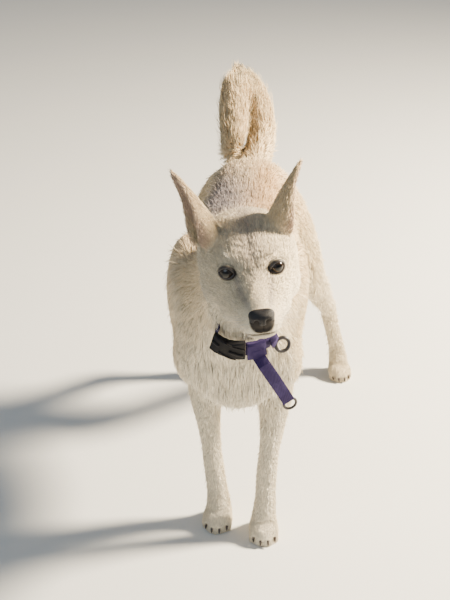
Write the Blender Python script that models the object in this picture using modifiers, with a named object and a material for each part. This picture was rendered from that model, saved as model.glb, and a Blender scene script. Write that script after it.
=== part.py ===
"""A life-size standing dog, in metres, +Z up, facing -Y, with its left side towards +X.

The body is modelled whole: tapered tubes and muscle shapes are fused into one skin of clay,
which is then parted into head, neck, trunk, tail, legs and paws by thin gaps.
Ears, eyes, nose, claws and the collar's parts are pieces of their own.
"""

import math

import bmesh
import bpy
import numpy as np
from mathutils import Euler, Matrix, Vector
from mathutils.bvhtree import BVHTree

# ---------------------------------------------------------------- driving dimensions
WITHERS = 0.500          # height over the shoulder blades, with the coat
BRISKET = 0.226          # height of the breastbone's lowest point
CROUP = 0.485            # height over the pelvis
PROSTERNUM_Y = -0.118    # front of the chest
BUTTOCK_Y = 0.454        # back of the pelvis, under the tail
CHEST_HALF = 0.094       # half the rib cage's width
WAIST_HALF = 0.071       # half the loin's width
SPINE_SWAY = 0.004       # the rib cage leans this far to the dog's right
GAP = 0.0003             # clearance between neighbouring solids
MERGE = 0.00001          # points nearer than this are one

HEAD_PLACE = Vector((0.0258, -0.248, 0.554))   # the point midway between the eyes
HEAD_TURN = Euler((math.radians(2), math.radians(-5.4), math.radians(9)), "YXZ")
EYE_RADIUS = 0.0106
EYE_DEPTH = 0.0074       # the eyeball's centre lies this far under the coat
EYE_SIDE, EYE_UP = 0.0280, 0.0005
GAZE = Vector((0.30, -0.94, 0.12))            # where the left eye points, in the head's frame
NOSE_SIZE = Vector((0.0142, 0.0105, 0.0112))  # half width, depth and height of the nose pad
NOSE_PLACE = Vector((0, -0.0840, -0.0235))
SKULL_TOP = 0.0405       # above the eyes

PAW_TOP = 0.040          # the level where a paw is parted from its leg
CLAW_LENGTH = 0.012
BAND_WIDTH = 0.020       # the collar's webbing
BAND_THICK = 0.0026
RING_OUTSIDE, RING_WIRE = 0.0118, 0.0025      # the round ring beside the buckle
D_RING_OUTSIDE, D_RING_WIRE = 0.0105, 0.0015

CLAY_VOXEL = 0.0035
CLAY_SMOOTHING = 6
HEAD_TRIANGLES = 1250
BODY_TRIANGLES = 2440

# ---------------------------------------------------------------- small helpers


def clear_scene():
    for obj in list(bpy.data.objects):
        bpy.data.objects.remove(obj, do_unlink=True)


def new_collection(name):
    made = bpy.data.collections.new(name)
    bpy.context.scene.collection.children.link(made)
    return made


def material(name, colour, roughness, metallic=0.0):
    made = bpy.data.materials.new(name)
    made.use_nodes = True
    shader = made.node_tree.nodes["Principled BSDF"]
    shader.inputs["Base Color"].default_value = (*colour, 1)
    shader.inputs["Roughness"].default_value = roughness
    shader.inputs["Metallic"].default_value = metallic
    return made


def object_from(bm, name, home):
    """A mesh object from a bmesh, its normals facing out."""
    bmesh.ops.recalc_face_normals(bm, faces=bm.faces)
    mesh = bpy.data.meshes.new(name)
    bm.to_mesh(mesh)
    bm.free()
    made = bpy.data.objects.new(name, mesh)
    home.objects.link(made)
    return made


def copy_of(obj, name, home):
    made = bpy.data.objects.new(name, obj.data.copy())
    home.objects.link(made)
    return made


def bake(obj):
    """Replaces an object's mesh by what its modifiers make of it."""
    graph = bpy.context.evaluated_depsgraph_get()
    mesh = bpy.data.meshes.new_from_object(obj.evaluated_get(graph))
    obj.modifiers.clear()
    obj.data = mesh


def combine(obj, operation, others):
    """Adds, cuts or keeps what is common with each of the other objects in turn."""
    for other in others:
        step = obj.modifiers.new(operation.lower(), "BOOLEAN")
        step.operation = operation
        step.solver = "EXACT"
        step.object = other
        bake(obj)


def thin_out(obj, triangles):
    """Leaves the faces that the form needs."""
    found = sum(len(face.vertices) - 2 for face in obj.data.polygons)
    step = obj.modifiers.new("thin", "DECIMATE")
    step.ratio = triangles / found
    bake(obj)


def mend(obj):
    """Merges the points that a cut left almost on top of each other, and closes what that opens."""
    bm = bmesh.new()
    bm.from_mesh(obj.data)
    bmesh.ops.triangulate(bm, faces=bm.faces)
    bmesh.ops.remove_doubles(bm, verts=bm.verts, dist=MERGE)
    bmesh.ops.dissolve_degenerate(bm, edges=bm.edges, dist=MERGE)
    crowded = {face for edge in bm.edges if len(edge.link_faces) > 2 for face in edge.link_faces}
    loose = [face for face in crowded if any(len(edge.link_faces) == 1 for edge in face.edges)]
    bmesh.ops.delete(bm, geom=loose, context="FACES")
    rims = [edge for edge in bm.edges if len(edge.link_faces) == 1]
    bmesh.ops.holes_fill(bm, edges=rims, sides=0)
    bmesh.ops.triangulate(bm, faces=bm.faces)
    bmesh.ops.recalc_face_normals(bm, faces=bm.faces)
    bm.to_mesh(obj.data)
    bm.free()


def keep_largest(obj):
    """Drops the crumbs that a cut can leave beside the piece itself."""
    bm = bmesh.new()
    bm.from_mesh(obj.data)
    left = set(bm.verts)
    shells = []
    while left:
        shell = {left.pop()}
        edge_of = list(shell)
        while edge_of:
            vert = edge_of.pop()
            for edge in vert.link_edges:
                other = edge.other_vert(vert)
                if other in left:
                    left.remove(other)
                    shell.add(other)
                    edge_of.append(other)
        shells.append(shell)
    largest = max(shells, key=len)
    crumbs = [vert for vert in bm.verts if vert not in largest]
    bmesh.ops.delete(bm, geom=crumbs, context="VERTS")
    bm.to_mesh(obj.data)
    bm.free()


# ---------------------------------------------------------------- soft shapes


def smooth_rows(rows, steps):
    """Rows of numbers read from a Catmull-Rom curve through the given ones."""
    rows = np.array(rows, float)
    padded = np.vstack([2 * rows[0] - rows[1], rows, 2 * rows[-1] - rows[-2]])
    made = []
    for i in range(1, len(padded) - 2):
        before, start, end, after = padded[i - 1 : i + 3]
        for t in np.arange(steps) / steps:
            made.append(
                0.5 * (2 * start + (end - before) * t
                       + (2 * before - 5 * start + 4 * end - after) * t**2
                       + (3 * start - before - 3 * end + after) * t**3)
            )
    made.append(rows[-1])
    return np.array(made)


def skin_over(bm, rings):
    """Closes a row of rings of vertices into one body."""
    count = len(rings[0])
    for one, two in zip(rings, rings[1:]):
        for k in range(count):
            bm.faces.new((one[k], one[(k + 1) % count], two[(k + 1) % count], two[k]))
    bm.faces.new(rings[0])
    bm.faces.new(list(reversed(rings[-1])))


def tube(bm, stations, place=Matrix(), sides=20, steps=3, upper=2.0, lower=2.0):
    """A closed form through stations of (x, y, z, half width, reach up, reach down).

    Each ring stands square to the line through the stations. Up is the upper side of a level
    tube, and the front of an upright one. upper and lower are the powers of its two half curves:
    2 is an ellipse, more is boxier, and less is more pointed.
    """
    rows = smooth_rows(stations, steps)
    centres = rows[:, :3]
    runs = np.gradient(centres, axis=0)
    whole_run = centres[-1] - centres[0]
    level = abs(whole_run[1]) > abs(whole_run[2])
    turned = -1 if (whole_run[1] > 0 if level else whole_run[2] > 0) else 1
    rings = []
    for centre, run, (wide, up, down) in zip(centres, runs, rows[:, 3:6]):
        ahead = Vector(run).normalized()
        side = Vector((1, 0, 0))
        side = (side - ahead * side.dot(ahead)).normalized()
        rise = ahead.cross(side) * turned
        ring = []
        for k in range(sides):
            angle = 2 * math.pi * k / sides
            c, s = math.cos(angle), math.sin(angle)
            power = 2 / (upper if s > 0 else lower)
            across = math.copysign(abs(c) ** power, c) * wide
            high = math.copysign(abs(s) ** power, s) * (up if s > 0 else down)
            ring.append(bm.verts.new(place @ (Vector(centre) + side * across + rise * high)))
        rings.append(ring)
    skin_over(bm, rings)


def muscle(bm, centre, radii, turn=(0, 0, 0), place=Matrix(), segments=20, rings=12):
    """An ellipsoid, turned by degrees about X, Y and Z."""
    shape = (
        place
        @ Matrix.Translation(centre)
        @ Euler([math.radians(a) for a in turn]).to_matrix().to_4x4()
        @ Matrix.Diagonal((*radii, 1))
    )
    bmesh.ops.create_uvsphere(bm, u_segments=segments, v_segments=rings, radius=1, matrix=shape)


def block(bm, low, high):
    shape = Matrix.Translation((low + high) / 2) @ Matrix.Diagonal((*(high - low), 1))
    bmesh.ops.create_cube(bm, size=1, matrix=shape)


def beyond(point, normal, name, home):
    """A large block that fills the space on the normal's side of a plane."""
    turn = Vector((0, 0, 1)).rotation_difference(normal).to_matrix().to_4x4()
    bm = bmesh.new()
    shape = turn @ Matrix.Translation((0, 0, 1)) @ Matrix.Diagonal((2, 2, 2, 1))
    bmesh.ops.create_cube(bm, size=1, matrix=Matrix.Translation(point) @ shape)
    return object_from(bm, name, home)


# ---------------------------------------------------------------- the body


def add_trunk(bm):
    """Rib cage, loin and croup: each station is y, top, bottom, half width."""
    profile = [
        (PROSTERNUM_Y, 0.392, 0.318, 0.034),
        (-0.104, 0.432, 0.282, 0.062),
        (-0.070, 0.466, 0.250, 0.080),
        (-0.020, 0.490, BRISKET + 0.008, 0.090),
        (0.030, WITHERS, BRISKET, 0.094),
        (0.090, 0.494, BRISKET, CHEST_HALF),
        (0.150, 0.486, 0.233, CHEST_HALF),
        (0.210, 0.483, 0.249, 0.086),
        (0.270, 0.485, 0.270, 0.077),
        (0.320, 0.487, 0.288, WAIST_HALF),
        (0.370, CROUP, 0.302, 0.073),
        (0.410, 0.474, 0.330, 0.064),
        (0.438, 0.450, 0.366, 0.044),
        (BUTTOCK_Y, 0.424, 0.392, 0.018),
    ]
    stations = []
    for y, top, bottom, half in profile:
        middle = bottom + 0.52 * (top - bottom)
        sway = -SPINE_SWAY * math.exp(-(((y - 0.20) / 0.13) ** 2))
        stations.append((sway, y, middle, half, top - middle, middle - bottom))
    tube(bm, stations, sides=28, upper=2.5, lower=1.95)


def add_neck(bm):
    stations = [
        (0.000, 0.030, 0.392, 0.084, 0.088, 0.100),
        (0.000, -0.030, 0.422, 0.083, 0.080, 0.102),
        (0.004, -0.080, 0.457, 0.069, 0.067, 0.098),
        (0.011, -0.125, 0.495, 0.053, 0.058, 0.092),
        (0.017, -0.160, 0.522, 0.049, 0.050, 0.073),
        (0.020, -0.190, 0.536, 0.044, 0.040, 0.047),
    ]
    tube(bm, stations, sides=24)


def head_matrix():
    return Matrix.Translation(HEAD_PLACE) @ HEAD_TURN.to_matrix().to_4x4()


def add_head(bm):
    """Skull and muzzle, in the head's frame: stations are y, top, widest level, bottom, half width."""
    place = head_matrix()
    muzzle = [
        (-0.0860, -0.0170, -0.0280, -0.0390, 0.0120),
        (-0.0820, -0.0135, -0.0300, -0.0470, 0.0180),
        (-0.0720, -0.0100, -0.0325, -0.0530, 0.0230),
        (-0.0580, -0.0070, -0.0335, -0.0565, 0.0268),
        (-0.0420, -0.0040, -0.0330, -0.0595, 0.0320),
        (-0.0280, 0.0005, -0.0320, -0.0625, 0.0378),
        (-0.0100, 0.0080, -0.0270, -0.0655, 0.0440),
        (0.0100, 0.0120, -0.0220, -0.0665, 0.0480),
    ]
    skull = [
        (-0.0300, -0.0060, -0.0250, -0.0480, 0.0200),
        (-0.0170, 0.0070, -0.0240, -0.0600, 0.0375),
        (-0.0040, 0.0185, -0.0210, -0.0640, 0.0450),
        (0.0110, 0.0295, -0.0170, -0.0660, 0.0525),
        (0.0280, 0.0365, -0.0130, -0.0670, 0.0580),
        (0.0470, 0.0395, -0.0100, -0.0660, 0.0600),
        (0.0660, SKULL_TOP, -0.0090, -0.0630, 0.0575),
        (0.0850, 0.0385, -0.0080, -0.0570, 0.0500),
        (0.1010, 0.0310, -0.0080, -0.0480, 0.0370),
        (0.1120, 0.0160, -0.0080, -0.0300, 0.0200),
    ]
    for stations, upper, lower in ((muzzle, 1.75, 2.4), (skull, 2.35, 2.1)):
        tube(
            bm,
            [(0, y, mid, half, top - mid, mid - bottom) for y, top, mid, bottom, half in stations],
            place, sides=24, upper=upper, lower=lower,
        )
    for side in (-1, 1):
        cheek = (side * 0.0395, 0.032, -0.032)
        jaw = (side * 0.0255, -0.004, -0.042)
        whisker_pad = (side * 0.0125, -0.064, -0.036)
        brow = (side * 0.0240, 0.004, 0.0120)
        cheekbone = (side * 0.0390, 0.014, -0.012)
        muscle(bm, cheek, (0.0205, 0.040, 0.0275), place=place)
        muscle(bm, jaw, (0.0175, 0.040, 0.0185), place=place)
        muscle(bm, whisker_pad, (0.012, 0.019, 0.0145), place=place)
        muscle(bm, brow, (0.0155, 0.014, 0.0090), (0, side * 25, 0), place)
        muscle(bm, cheekbone, (0.012, 0.020, 0.010), place=place)
    chin = (0, -0.064, -0.0495)
    muscle(bm, chin, (0.012, 0.014, 0.0075), place=place)


# Where each foot stands, and the leg joints above it. The dog braces its left hind leg outwards.
SIGN = {"left": 1, "right": -1}
FORE_FEET = {"left": Vector((0.040, -0.013, 0)), "right": Vector((-0.031, 0.013, 0))}
ELBOW = Vector((0.0575, 0.036, 0.262))
WRIST_OUT = {"left": 0.003, "right": 0.009}
SHOULDER_POINT = Vector((0.066, -0.078, 0.352))
HIP = Vector((0.049, 0.392, 0.398))
HIP_SWAY = 0.004
STIFLE = {"left": Vector((0.104, 0.340, 0.285)), "right": Vector((-0.088, 0.338, 0.282))}
HOCK = {"left": Vector((0.146, 0.478, 0.148)), "right": Vector((-0.078, 0.472, 0.142))}
HIND_FEET = {"left": Vector((0.170, 0.497, 0)), "right": Vector((-0.080, 0.466, 0))}


def add_foreleg(bm, side):
    sign = SIGN[side]
    foot = FORE_FEET[side]
    elbow = Vector((ELBOW.x * sign, ELBOW.y + foot.y * 0.4, ELBOW.z))
    shoulder = Vector((SHOULDER_POINT.x * sign, SHOULDER_POINT.y + foot.y * 0.3, SHOULDER_POINT.z))
    wrist = foot + Vector((WRIST_OUT[side] * sign, 0.012, 0.098))
    ankle = foot + Vector((0.001 * sign, 0.004, 0.050))
    blade = (0.061 * sign - 0.002, -0.014, 0.402)
    muscle(bm, blade, (0.038, 0.074, 0.092), (-28, 8 * sign, 0))
    upper_arm = [
        (shoulder.x - 0.004 * sign, shoulder.y + 0.012, shoulder.z + 0.020, 0.024, 0.034, 0.034),
        (*shoulder.lerp(elbow, 0.28), 0.029, 0.044, 0.044),
        (*(shoulder.lerp(elbow, 0.70) + Vector((0, 0.010, 0.010))), 0.027, 0.044, 0.046),
        (elbow.x, elbow.y + 0.004, elbow.z - 0.004, 0.022, 0.030, 0.030),
    ]
    tube(bm, upper_arm)
    down = elbow.lerp(wrist, 0.22)
    middle = elbow.lerp(wrist, 0.50)
    low = elbow.lerp(wrist, 0.80)
    forearm = [
        (elbow.x - 0.002 * sign, elbow.y - 0.006, elbow.z + 0.040, 0.027, 0.036, 0.034),
        (elbow.x - 0.002 * sign, elbow.y - 0.006, elbow.z, 0.0270, 0.033, 0.034),
        (down.x - 0.001 * sign, down.y - 0.005, down.z, 0.0270, 0.028, 0.029),
        (middle.x, middle.y - 0.003, middle.z, 0.0195, 0.021, 0.023),
        (low.x, low.y - 0.001, low.z, 0.0155, 0.0175, 0.0180),
        (wrist.x, wrist.y - 0.001, wrist.z, 0.0175, 0.0185, 0.0200),
        (*wrist.lerp(ankle, 0.5), 0.0165, 0.0168, 0.0175),
        (ankle.x, ankle.y, ankle.z - 0.006, 0.0185, 0.0180, 0.0180),
        (foot.x, foot.y, 0.026, 0.0190, 0.0200, 0.0200),
    ]
    tube(bm, forearm, sides=16)
    elbow_point = (elbow.x, elbow.y + 0.020, elbow.z + 0.004)
    muscle(bm, elbow_point, (0.016, 0.015, 0.020))
    add_paw(bm, paw_place(side, "fore"))


def add_hindleg(bm, side):
    sign = SIGN[side]
    stifle, hock, foot = STIFLE[side], HOCK[side], HIND_FEET[side]
    hip = Vector((HIP.x * sign - HIP_SWAY, HIP.y, HIP.z))
    out = Vector((sign, 0, 0))
    thigh = [
        (hip.x - 0.010 * sign, hip.y + 0.002, hip.z + 0.040, 0.026, 0.040, 0.044),
        (hip.x + 0.002 * sign, hip.y, hip.z + 0.004, 0.036, 0.064, 0.062),
        (*(hip.lerp(stifle, 0.34) + Vector((0, 0.018, 0)) + out * 0.003), 0.037, 0.068, 0.068),
        (*(hip.lerp(stifle, 0.72) + Vector((0, 0.020, -0.002)) + out * 0.003), 0.032, 0.054, 0.056),
        (*(stifle + Vector((0, 0.017, -0.010))), 0.027, 0.041, 0.041),
        (*(stifle + Vector((0, 0.024, -0.034))), 0.018, 0.026, 0.026),
    ]
    tube(bm, thigh)
    shin = [
        (*(stifle + Vector((0, 0.022, 0.046))), 0.017, 0.020, 0.020),
        (*(stifle + Vector((0, 0.013, 0.010))), 0.0255, 0.036, 0.037),
        (*(stifle + Vector((0, 0.018, -0.014))), 0.0260, 0.036, 0.037),
        (*stifle.lerp(hock, 0.32), 0.0235, 0.030, 0.033),
        (*stifle.lerp(hock, 0.62), 0.0180, 0.023, 0.023),
        (*stifle.lerp(hock, 0.86), 0.0150, 0.0170, 0.0170),
        (*hock, 0.0150, 0.0165, 0.0165),
    ]
    tube(bm, shin, sides=16)
    heel = hock + Vector((0, 0.017, 0.012))
    calf = stifle.lerp(hock, 0.30) + Vector((0, 0.010, 0.004))
    tendon = stifle.lerp(hock, 0.62) + Vector((0, 0.019, 0.011))
    cord = [
        (*calf, 0.010, 0.014, 0.014),
        (*tendon, 0.009, 0.013, 0.013),
        (*tendon.lerp(heel, 0.6), 0.009, 0.011, 0.011),
        (*heel, 0.011, 0.011, 0.011),
    ]
    tube(bm, cord, sides=10)
    muscle(bm, heel, (0.0110, 0.0115, 0.0140))
    ankle = foot + Vector((-0.003 * sign, 0.010, 0.046))
    pastern = [
        (*(hock + Vector((0, 0.006, 0.012))), 0.0145, 0.0180, 0.0180),
        (*(hock + Vector((0, 0.005, -0.010))), 0.0160, 0.0190, 0.0190),
        (*hock.lerp(ankle, 0.5), 0.0148, 0.0165, 0.0165),
        (*ankle, 0.0170, 0.0175, 0.0175),
        (foot.x, foot.y + 0.002, 0.024, 0.0180, 0.0190, 0.0190),
    ]
    tube(bm, pastern, sides=16)
    add_paw(bm, paw_place(side, "hind"))


# Toes from the inside out: side offset, reach forward and radius of a full-size paw.
TOES = (
    (-0.0155, 0.019, 0.0086),
    (-0.0056, 0.028, 0.0092),
    (0.0056, 0.028, 0.0092),
    (0.0155, 0.019, 0.0086),
)
TOE_OUT = {"fore": 4, "hind": 10}
PAW_SIZE = {"fore": 1.0, "hind": 0.94}


def paw_place(side, end):
    foot = FORE_FEET[side] if end == "fore" else HIND_FEET[side]
    size = PAW_SIZE[end]
    return (
        Matrix.Translation(foot)
        @ Matrix.Rotation(math.radians(TOE_OUT[end] * SIGN[side]), 4, "Z")
        @ Matrix.Diagonal((size, size, size, 1))
    )


def add_paw(bm, place):
    instep = (0, 0.001, 0.0165)
    main_pad = (0, 0.015, 0.0080)
    muscle(bm, instep, (0.0215, 0.0265, 0.0190), place=place)
    muscle(bm, main_pad, (0.0150, 0.0145, 0.0115), place=place)
    for across, ahead, radius in TOES:
        muscle(bm, (across, -ahead + 0.006, 0.0150), (radius, 0.0150, 0.0135), (18, 0, 0), place)
        muscle(bm, (across * 1.06, -ahead - 0.004, 0.0080), (radius * 0.94, 0.0105, 0.0115), place=place)


def add_claws(bm, place):
    """A curved cone at the end of each toe, its root buried in the toe."""
    for across, ahead, _ in TOES:
        root = Vector((across * 1.06, -ahead - 0.008, 0.0115))
        line = [
            (*root, 0.0028, 0.0030, 0.0030),
            (*(root + Vector((0, -0.6 * CLAW_LENGTH, -0.0018))), 0.0021, 0.0024, 0.0024),
            (*(root + Vector((0, -1.0 * CLAW_LENGTH, -0.0070))), 0.0007, 0.0008, 0.0008),
        ]
        tube(bm, line, place, sides=6, steps=1)


TAIL_LINE = [
    (0.004, 0.408, 0.448, 0.0285), (0.010, 0.440, 0.464, 0.0265), (0.0145, 0.460, 0.498, 0.0240),
    (0.0105, 0.466, 0.538, 0.0225), (-0.002, 0.464, 0.573, 0.0225), (-0.0185, 0.456, 0.593, 0.0235),
    (-0.032, 0.446, 0.585, 0.0245), (-0.0345, 0.438, 0.554, 0.0245), (-0.033, 0.430, 0.520, 0.0235),
    (-0.0345, 0.427, 0.496, 0.0205), (-0.0365, 0.428, 0.474, 0.0165), (-0.038, 0.430, 0.460, 0.0110),
    (-0.0385, 0.431, 0.453, 0.0050),
]


def add_tail(bm):
    """The tail rises from the croup, turns over to the dog's right and hangs down beside itself."""
    line = smooth_rows(TAIL_LINE, 3)
    runs = np.gradient(line[:, :3], axis=0)
    sides = 14
    rings = []
    side = Vector((1, 0, 0))
    for row, run in zip(line, runs):
        ahead = Vector(run).normalized()
        side = (side - ahead * side.dot(ahead)).normalized()
        rise = ahead.cross(side)
        rings.append([
            bm.verts.new(Vector(row[:3]) + (side * math.cos(a) + rise * math.sin(a)) * row[3])
            for a in np.arange(sides) * 2 * math.pi / sides
        ])
    skin_over(bm, rings)


def clay_body(home):
    """The whole body as one closed skin."""
    bm = bmesh.new()
    add_trunk(bm)
    add_neck(bm)
    add_head(bm)
    add_tail(bm)
    for side in ("left", "right"):
        add_foreleg(bm, side)
        add_hindleg(bm, side)
    clay = object_from(bm, "clay", home)
    fuse = clay.modifiers.new("fuse", "REMESH")
    fuse.mode = "VOXEL"
    fuse.voxel_size = CLAY_VOXEL
    soften = clay.modifiers.new("soften", "SMOOTH")
    soften.factor = 0.5
    soften.iterations = CLAY_SMOOTHING
    bake(clay)
    keep_largest(clay)
    return clay


# ---------------------------------------------------------------- parting the body

# Cut planes as a point and a normal towards the part named first.
HEAD_CUT = (Vector((0.017, -0.163, 0.522)), Vector((0.10, -0.86, 0.50)).normalized())
NECK_CUT = (Vector((0.000, -0.062, 0.430)), Vector((0.05, -0.62, 0.78)).normalized())
TAIL_CUT = (Vector((0.006, 0.430, 0.468)), Vector((-0.15, 0.57, 0.80)).normalized())


ELBOW_BLOCK = (Vector((0.046, -0.034, 0.205)), Vector((0.150, 0.086, 0.300)))


def leg_region(side, end, grow, home):
    """The space a leg is parted from the trunk by: a rounded pod over the muscles, and blocks below."""
    sign = SIGN[side]
    bm = bmesh.new()
    if end == "fore":
        pod = (0.090 * sign, -0.014, 0.352)
        radii = Vector((0.050, 0.092, 0.150))
        turn = (-14, 0, 0)
        low, high = Vector((0.003, -0.20, -0.10)), Vector((0.30, 0.15, 0.220))
    else:
        pod = (0.092 * sign, 0.392, 0.345)
        radii = Vector((0.066, 0.104, 0.128))
        turn = (8, 0, 0)
        low, high = Vector((0.003, 0.285, -0.10)), Vector((0.35, 0.65, 0.262))
    more = Vector((grow, grow, grow))
    muscle(bm, pod, radii + more, turn, segments=14, rings=8)
    region = object_from(bm, f"pod_{end}_{side}", home)
    blocks = [(low, high)]
    if end == "fore":
        blocks.append(ELBOW_BLOCK)
    for i, (low, high) in enumerate(blocks):
        low, high = low.copy(), high.copy()
        if sign < 0:
            low.x, high.x = -high.x, -low.x
        bm = bmesh.new()
        block(bm, low - more, high + more)
        combine(region, "UNION", [object_from(bm, f"block_{end}_{side}_{i}", home)])
    return region


def part_clay(clay, parts, tools):
    """Cuts the clay into the named pieces and returns them by name."""
    half = GAP / 2
    spaces = {}
    for name, (point, normal) in (("head", HEAD_CUT), ("neck", NECK_CUT), ("tail", TAIL_CUT)):
        spaces[name] = beyond(point + normal * half, normal, f"beyond_{name}", tools)
        spaces[f"{name}_rest"] = beyond(point - normal * half, -normal, f"before_{name}", tools)
    floor = beyond(Vector((0, 0, 0)), Vector((0, 0, 1)), "above_floor", tools)

    pieces = {}
    pieces["head"] = copy_of(clay, "head", parts)
    combine(pieces["head"], "INTERSECT", [spaces["head"]])
    thin_out(pieces["head"], HEAD_TRIANGLES)
    combine(clay, "INTERSECT", [spaces["head_rest"]])
    thin_out(clay, BODY_TRIANGLES)
    combine(clay, "INTERSECT", [floor])
    pieces["neck"] = copy_of(clay, "neck", parts)
    combine(pieces["neck"], "INTERSECT", [spaces["neck"]])
    combine(clay, "INTERSECT", [spaces["neck_rest"]])
    pieces["tail"] = copy_of(clay, "tail", parts)
    combine(pieces["tail"], "INTERSECT", [spaces["tail"]])
    combine(clay, "INTERSECT", [spaces["tail_rest"]])

    pieces["trunk"] = copy_of(clay, "trunk", parts)
    above_paw = beyond(Vector((0, 0, PAW_TOP + half)), Vector((0, 0, 1)), "above_paw", tools)
    below_paw = beyond(Vector((0, 0, PAW_TOP - half)), Vector((0, 0, -1)), "below_paw", tools)
    for end in ("fore", "hind"):
        for side in ("left", "right"):
            leg = copy_of(clay, f"{end}leg_{side}", parts)
            combine(leg, "INTERSECT", [leg_region(side, end, -half, tools)])
            combine(pieces["trunk"], "DIFFERENCE", [leg_region(side, end, half, tools)])
            paw = copy_of(leg, f"paw_{end}_{side}", parts)
            combine(paw, "INTERSECT", [below_paw])
            combine(leg, "INTERSECT", [above_paw])
            pieces[leg.name] = leg
            pieces[paw.name] = paw
            claws = bmesh.new()
            add_claws(claws, paw_place(side, end))
            combine(paw, "UNION", [object_from(claws, f"claws_{end}_{side}", tools)])
    for piece in pieces.values():
        keep_largest(piece)
        mend(piece)
    return pieces


# ---------------------------------------------------------------- ears, eyes and nose

# Along the ear from its buried root to the tip: the spine in the head's frame, half width,
# curl in degrees, and how far the opening faces down rather than sideways.
EAR_ROWS = (
    (0.0180, 0.046, 0.0250, 0.0190, 144, 1.10),
    (0.0262, 0.046, 0.0380, 0.0205, 136, 1.00),
    (0.0345, 0.047, 0.0500, 0.0205, 114, 0.85),
    (0.0440, 0.050, 0.0625, 0.0187, 92, 0.70),
    (0.0545, 0.054, 0.0750, 0.0157, 72, 0.60),
    (0.0645, 0.058, 0.0860, 0.0118, 58, 0.55),
    (0.0728, 0.061, 0.0945, 0.0080, 45, 0.50),
    (0.0768, 0.063, 0.0985, 0.0046, 30, 0.50),
)
EAR_THICK = 0.0030
EAR_ROOT = {"left": 0.0, "right": 0.0080}       # the right ear is held lower and further out
EAR_SPREAD = {"left": 0.91, "right": 0.87}
EAR_RISE = {"left": 0.97, "right": 1.05}
EAR_FORWARD = {"left": 0.20, "right": 0.65}     # and its opening is turned to the front


def ear_shape(side, grow, name, home):
    """A rolled shell: a tube at the root that opens sideways and closes again to a rounded tip."""
    sign = SIGN[side]
    place = head_matrix()
    rows = smooth_rows(EAR_ROWS, 1)
    rows[:, 0] = rows[0, 0] + (rows[:, 0] - rows[0, 0]) * EAR_SPREAD[side] + EAR_ROOT[side]
    rows[:, 2] = rows[0, 2] + (rows[:, 2] - rows[0, 2]) * EAR_RISE[side]
    spine = rows[:, :3]
    runs = np.gradient(spine, axis=0)
    bm = bmesh.new()
    rings = []
    across = 9
    last = len(rows) - 1
    for i, (row, run) in enumerate(zip(rows, runs)):
        ahead = Vector((run[0] * sign, run[1], run[2])).normalized()
        half_width, curl, down = row[3], math.radians(row[4]), row[5]
        opening = Vector((sign, -EAR_FORWARD[side], -down))
        opening = (opening - ahead * opening.dot(ahead)).normalized()
        wide = ahead.cross(opening)
        radius = half_width / math.sin(min(curl, math.pi / 2))
        thick = EAR_THICK * (1 - 0.45 * i / last)
        start = Vector((row[0] * sign, row[1], row[2]))
        if i == last:
            start += ahead * grow
        if i == 0:
            start -= ahead * grow
        outer, inner = [], []
        angles = list(np.linspace(-curl, curl, across))
        if grow:
            beyond_rim = curl + 3 * grow / radius
            angles = [-beyond_rim] + angles + [beyond_rim]
        for angle in angles:
            spoke = -opening * math.cos(angle) + wide * math.sin(angle)
            hub = start + opening * radius
            outer.append(hub + spoke * (radius + grow))
            inner.append(hub + spoke * (radius - thick - grow))
        rings.append([bm.verts.new(place @ point) for point in outer + inner[::-1]])
    skin_over(bm, rings)
    return object_from(bm, name, home)


def eye_centre(side, surface):
    """The eyeball sits a fixed depth under the clay, on the line of the gaze."""
    sign = SIGN[side]
    place = head_matrix()
    gaze = (place.to_3x3() @ Vector((GAZE.x * sign, GAZE.y, GAZE.z))).normalized()
    aim = place @ Vector((EYE_SIDE * sign, -0.012, EYE_UP))
    hit = surface.ray_cast(aim + gaze * 0.05, -gaze)[0]
    return hit - gaze * EYE_DEPTH


def ball(centre, radius, name, home):
    bm = bmesh.new()
    muscle(bm, centre, (radius, radius, radius), segments=12, rings=8)
    return object_from(bm, name, home)


def nose_shape(grow, name, home):
    """A rounded pad, wider than it is tall and flatter in front."""
    tip = Matrix.Translation(NOSE_PLACE) @ Matrix.Rotation(math.radians(-12), 4, "X")
    place = head_matrix() @ tip
    size = NOSE_SIZE + Vector((grow, grow, grow))
    bm = bmesh.new()
    bmesh.ops.create_uvsphere(bm, u_segments=14, v_segments=9, radius=1)
    for vert in bm.verts:
        x, y, z = vert.co
        flat = 0.84 if y < -0.2 else 1.0
        broad = 1 + 0.12 * z
        boxy = 1 + 0.16 * (x * x) * (z * z) * 4
        vert.co = place @ Vector((x * size.x * broad * boxy, y * size.y * flat, z * size.z * boxy))
    return object_from(bm, name, home)


def add_face(head, surface, parts, tools):
    for side in ("left", "right"):
        ear_shape(side, 0, f"ear_{side}", parts)
        combine(head, "DIFFERENCE", [ear_shape(side, 2 * GAP, f"ear_socket_{side}", tools)])
        centre = eye_centre(side, surface)
        ball(centre, EYE_RADIUS, f"eye_{side}", parts)
        combine(head, "DIFFERENCE", [ball(centre, EYE_RADIUS + GAP, f"eye_socket_{side}", tools)])
    nose_shape(0, "nose", parts)
    combine(head, "DIFFERENCE", [nose_shape(GAP, "nose_socket", tools)])
    keep_largest(head)
    mend(head)


# ---------------------------------------------------------------- the collar

COLLAR_CENTRE = Vector((0.012, -0.128, 0.488))
COLLAR_AXIS = Vector((0.06, -0.74, 0.67)).normalized()
COLLAR_LOOSE = 0.0012
COLLAR_HANG = 0.0085      # how much farther the strap hangs clear of the throat
COLLAR_ROLL = math.radians(34)     # how far its lower edge rolls outwards there
COLLAR_DROP = 0.003
COLLAR_SEGMENTS = 36


def collar_frame():
    """The collar's own axes: towards the dog's left, towards the nape, and along the neck."""
    left = (Vector((1, 0, 0)) - COLLAR_AXIS * COLLAR_AXIS.x).normalized()
    return left, COLLAR_AXIS.cross(left), COLLAR_AXIS


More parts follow.
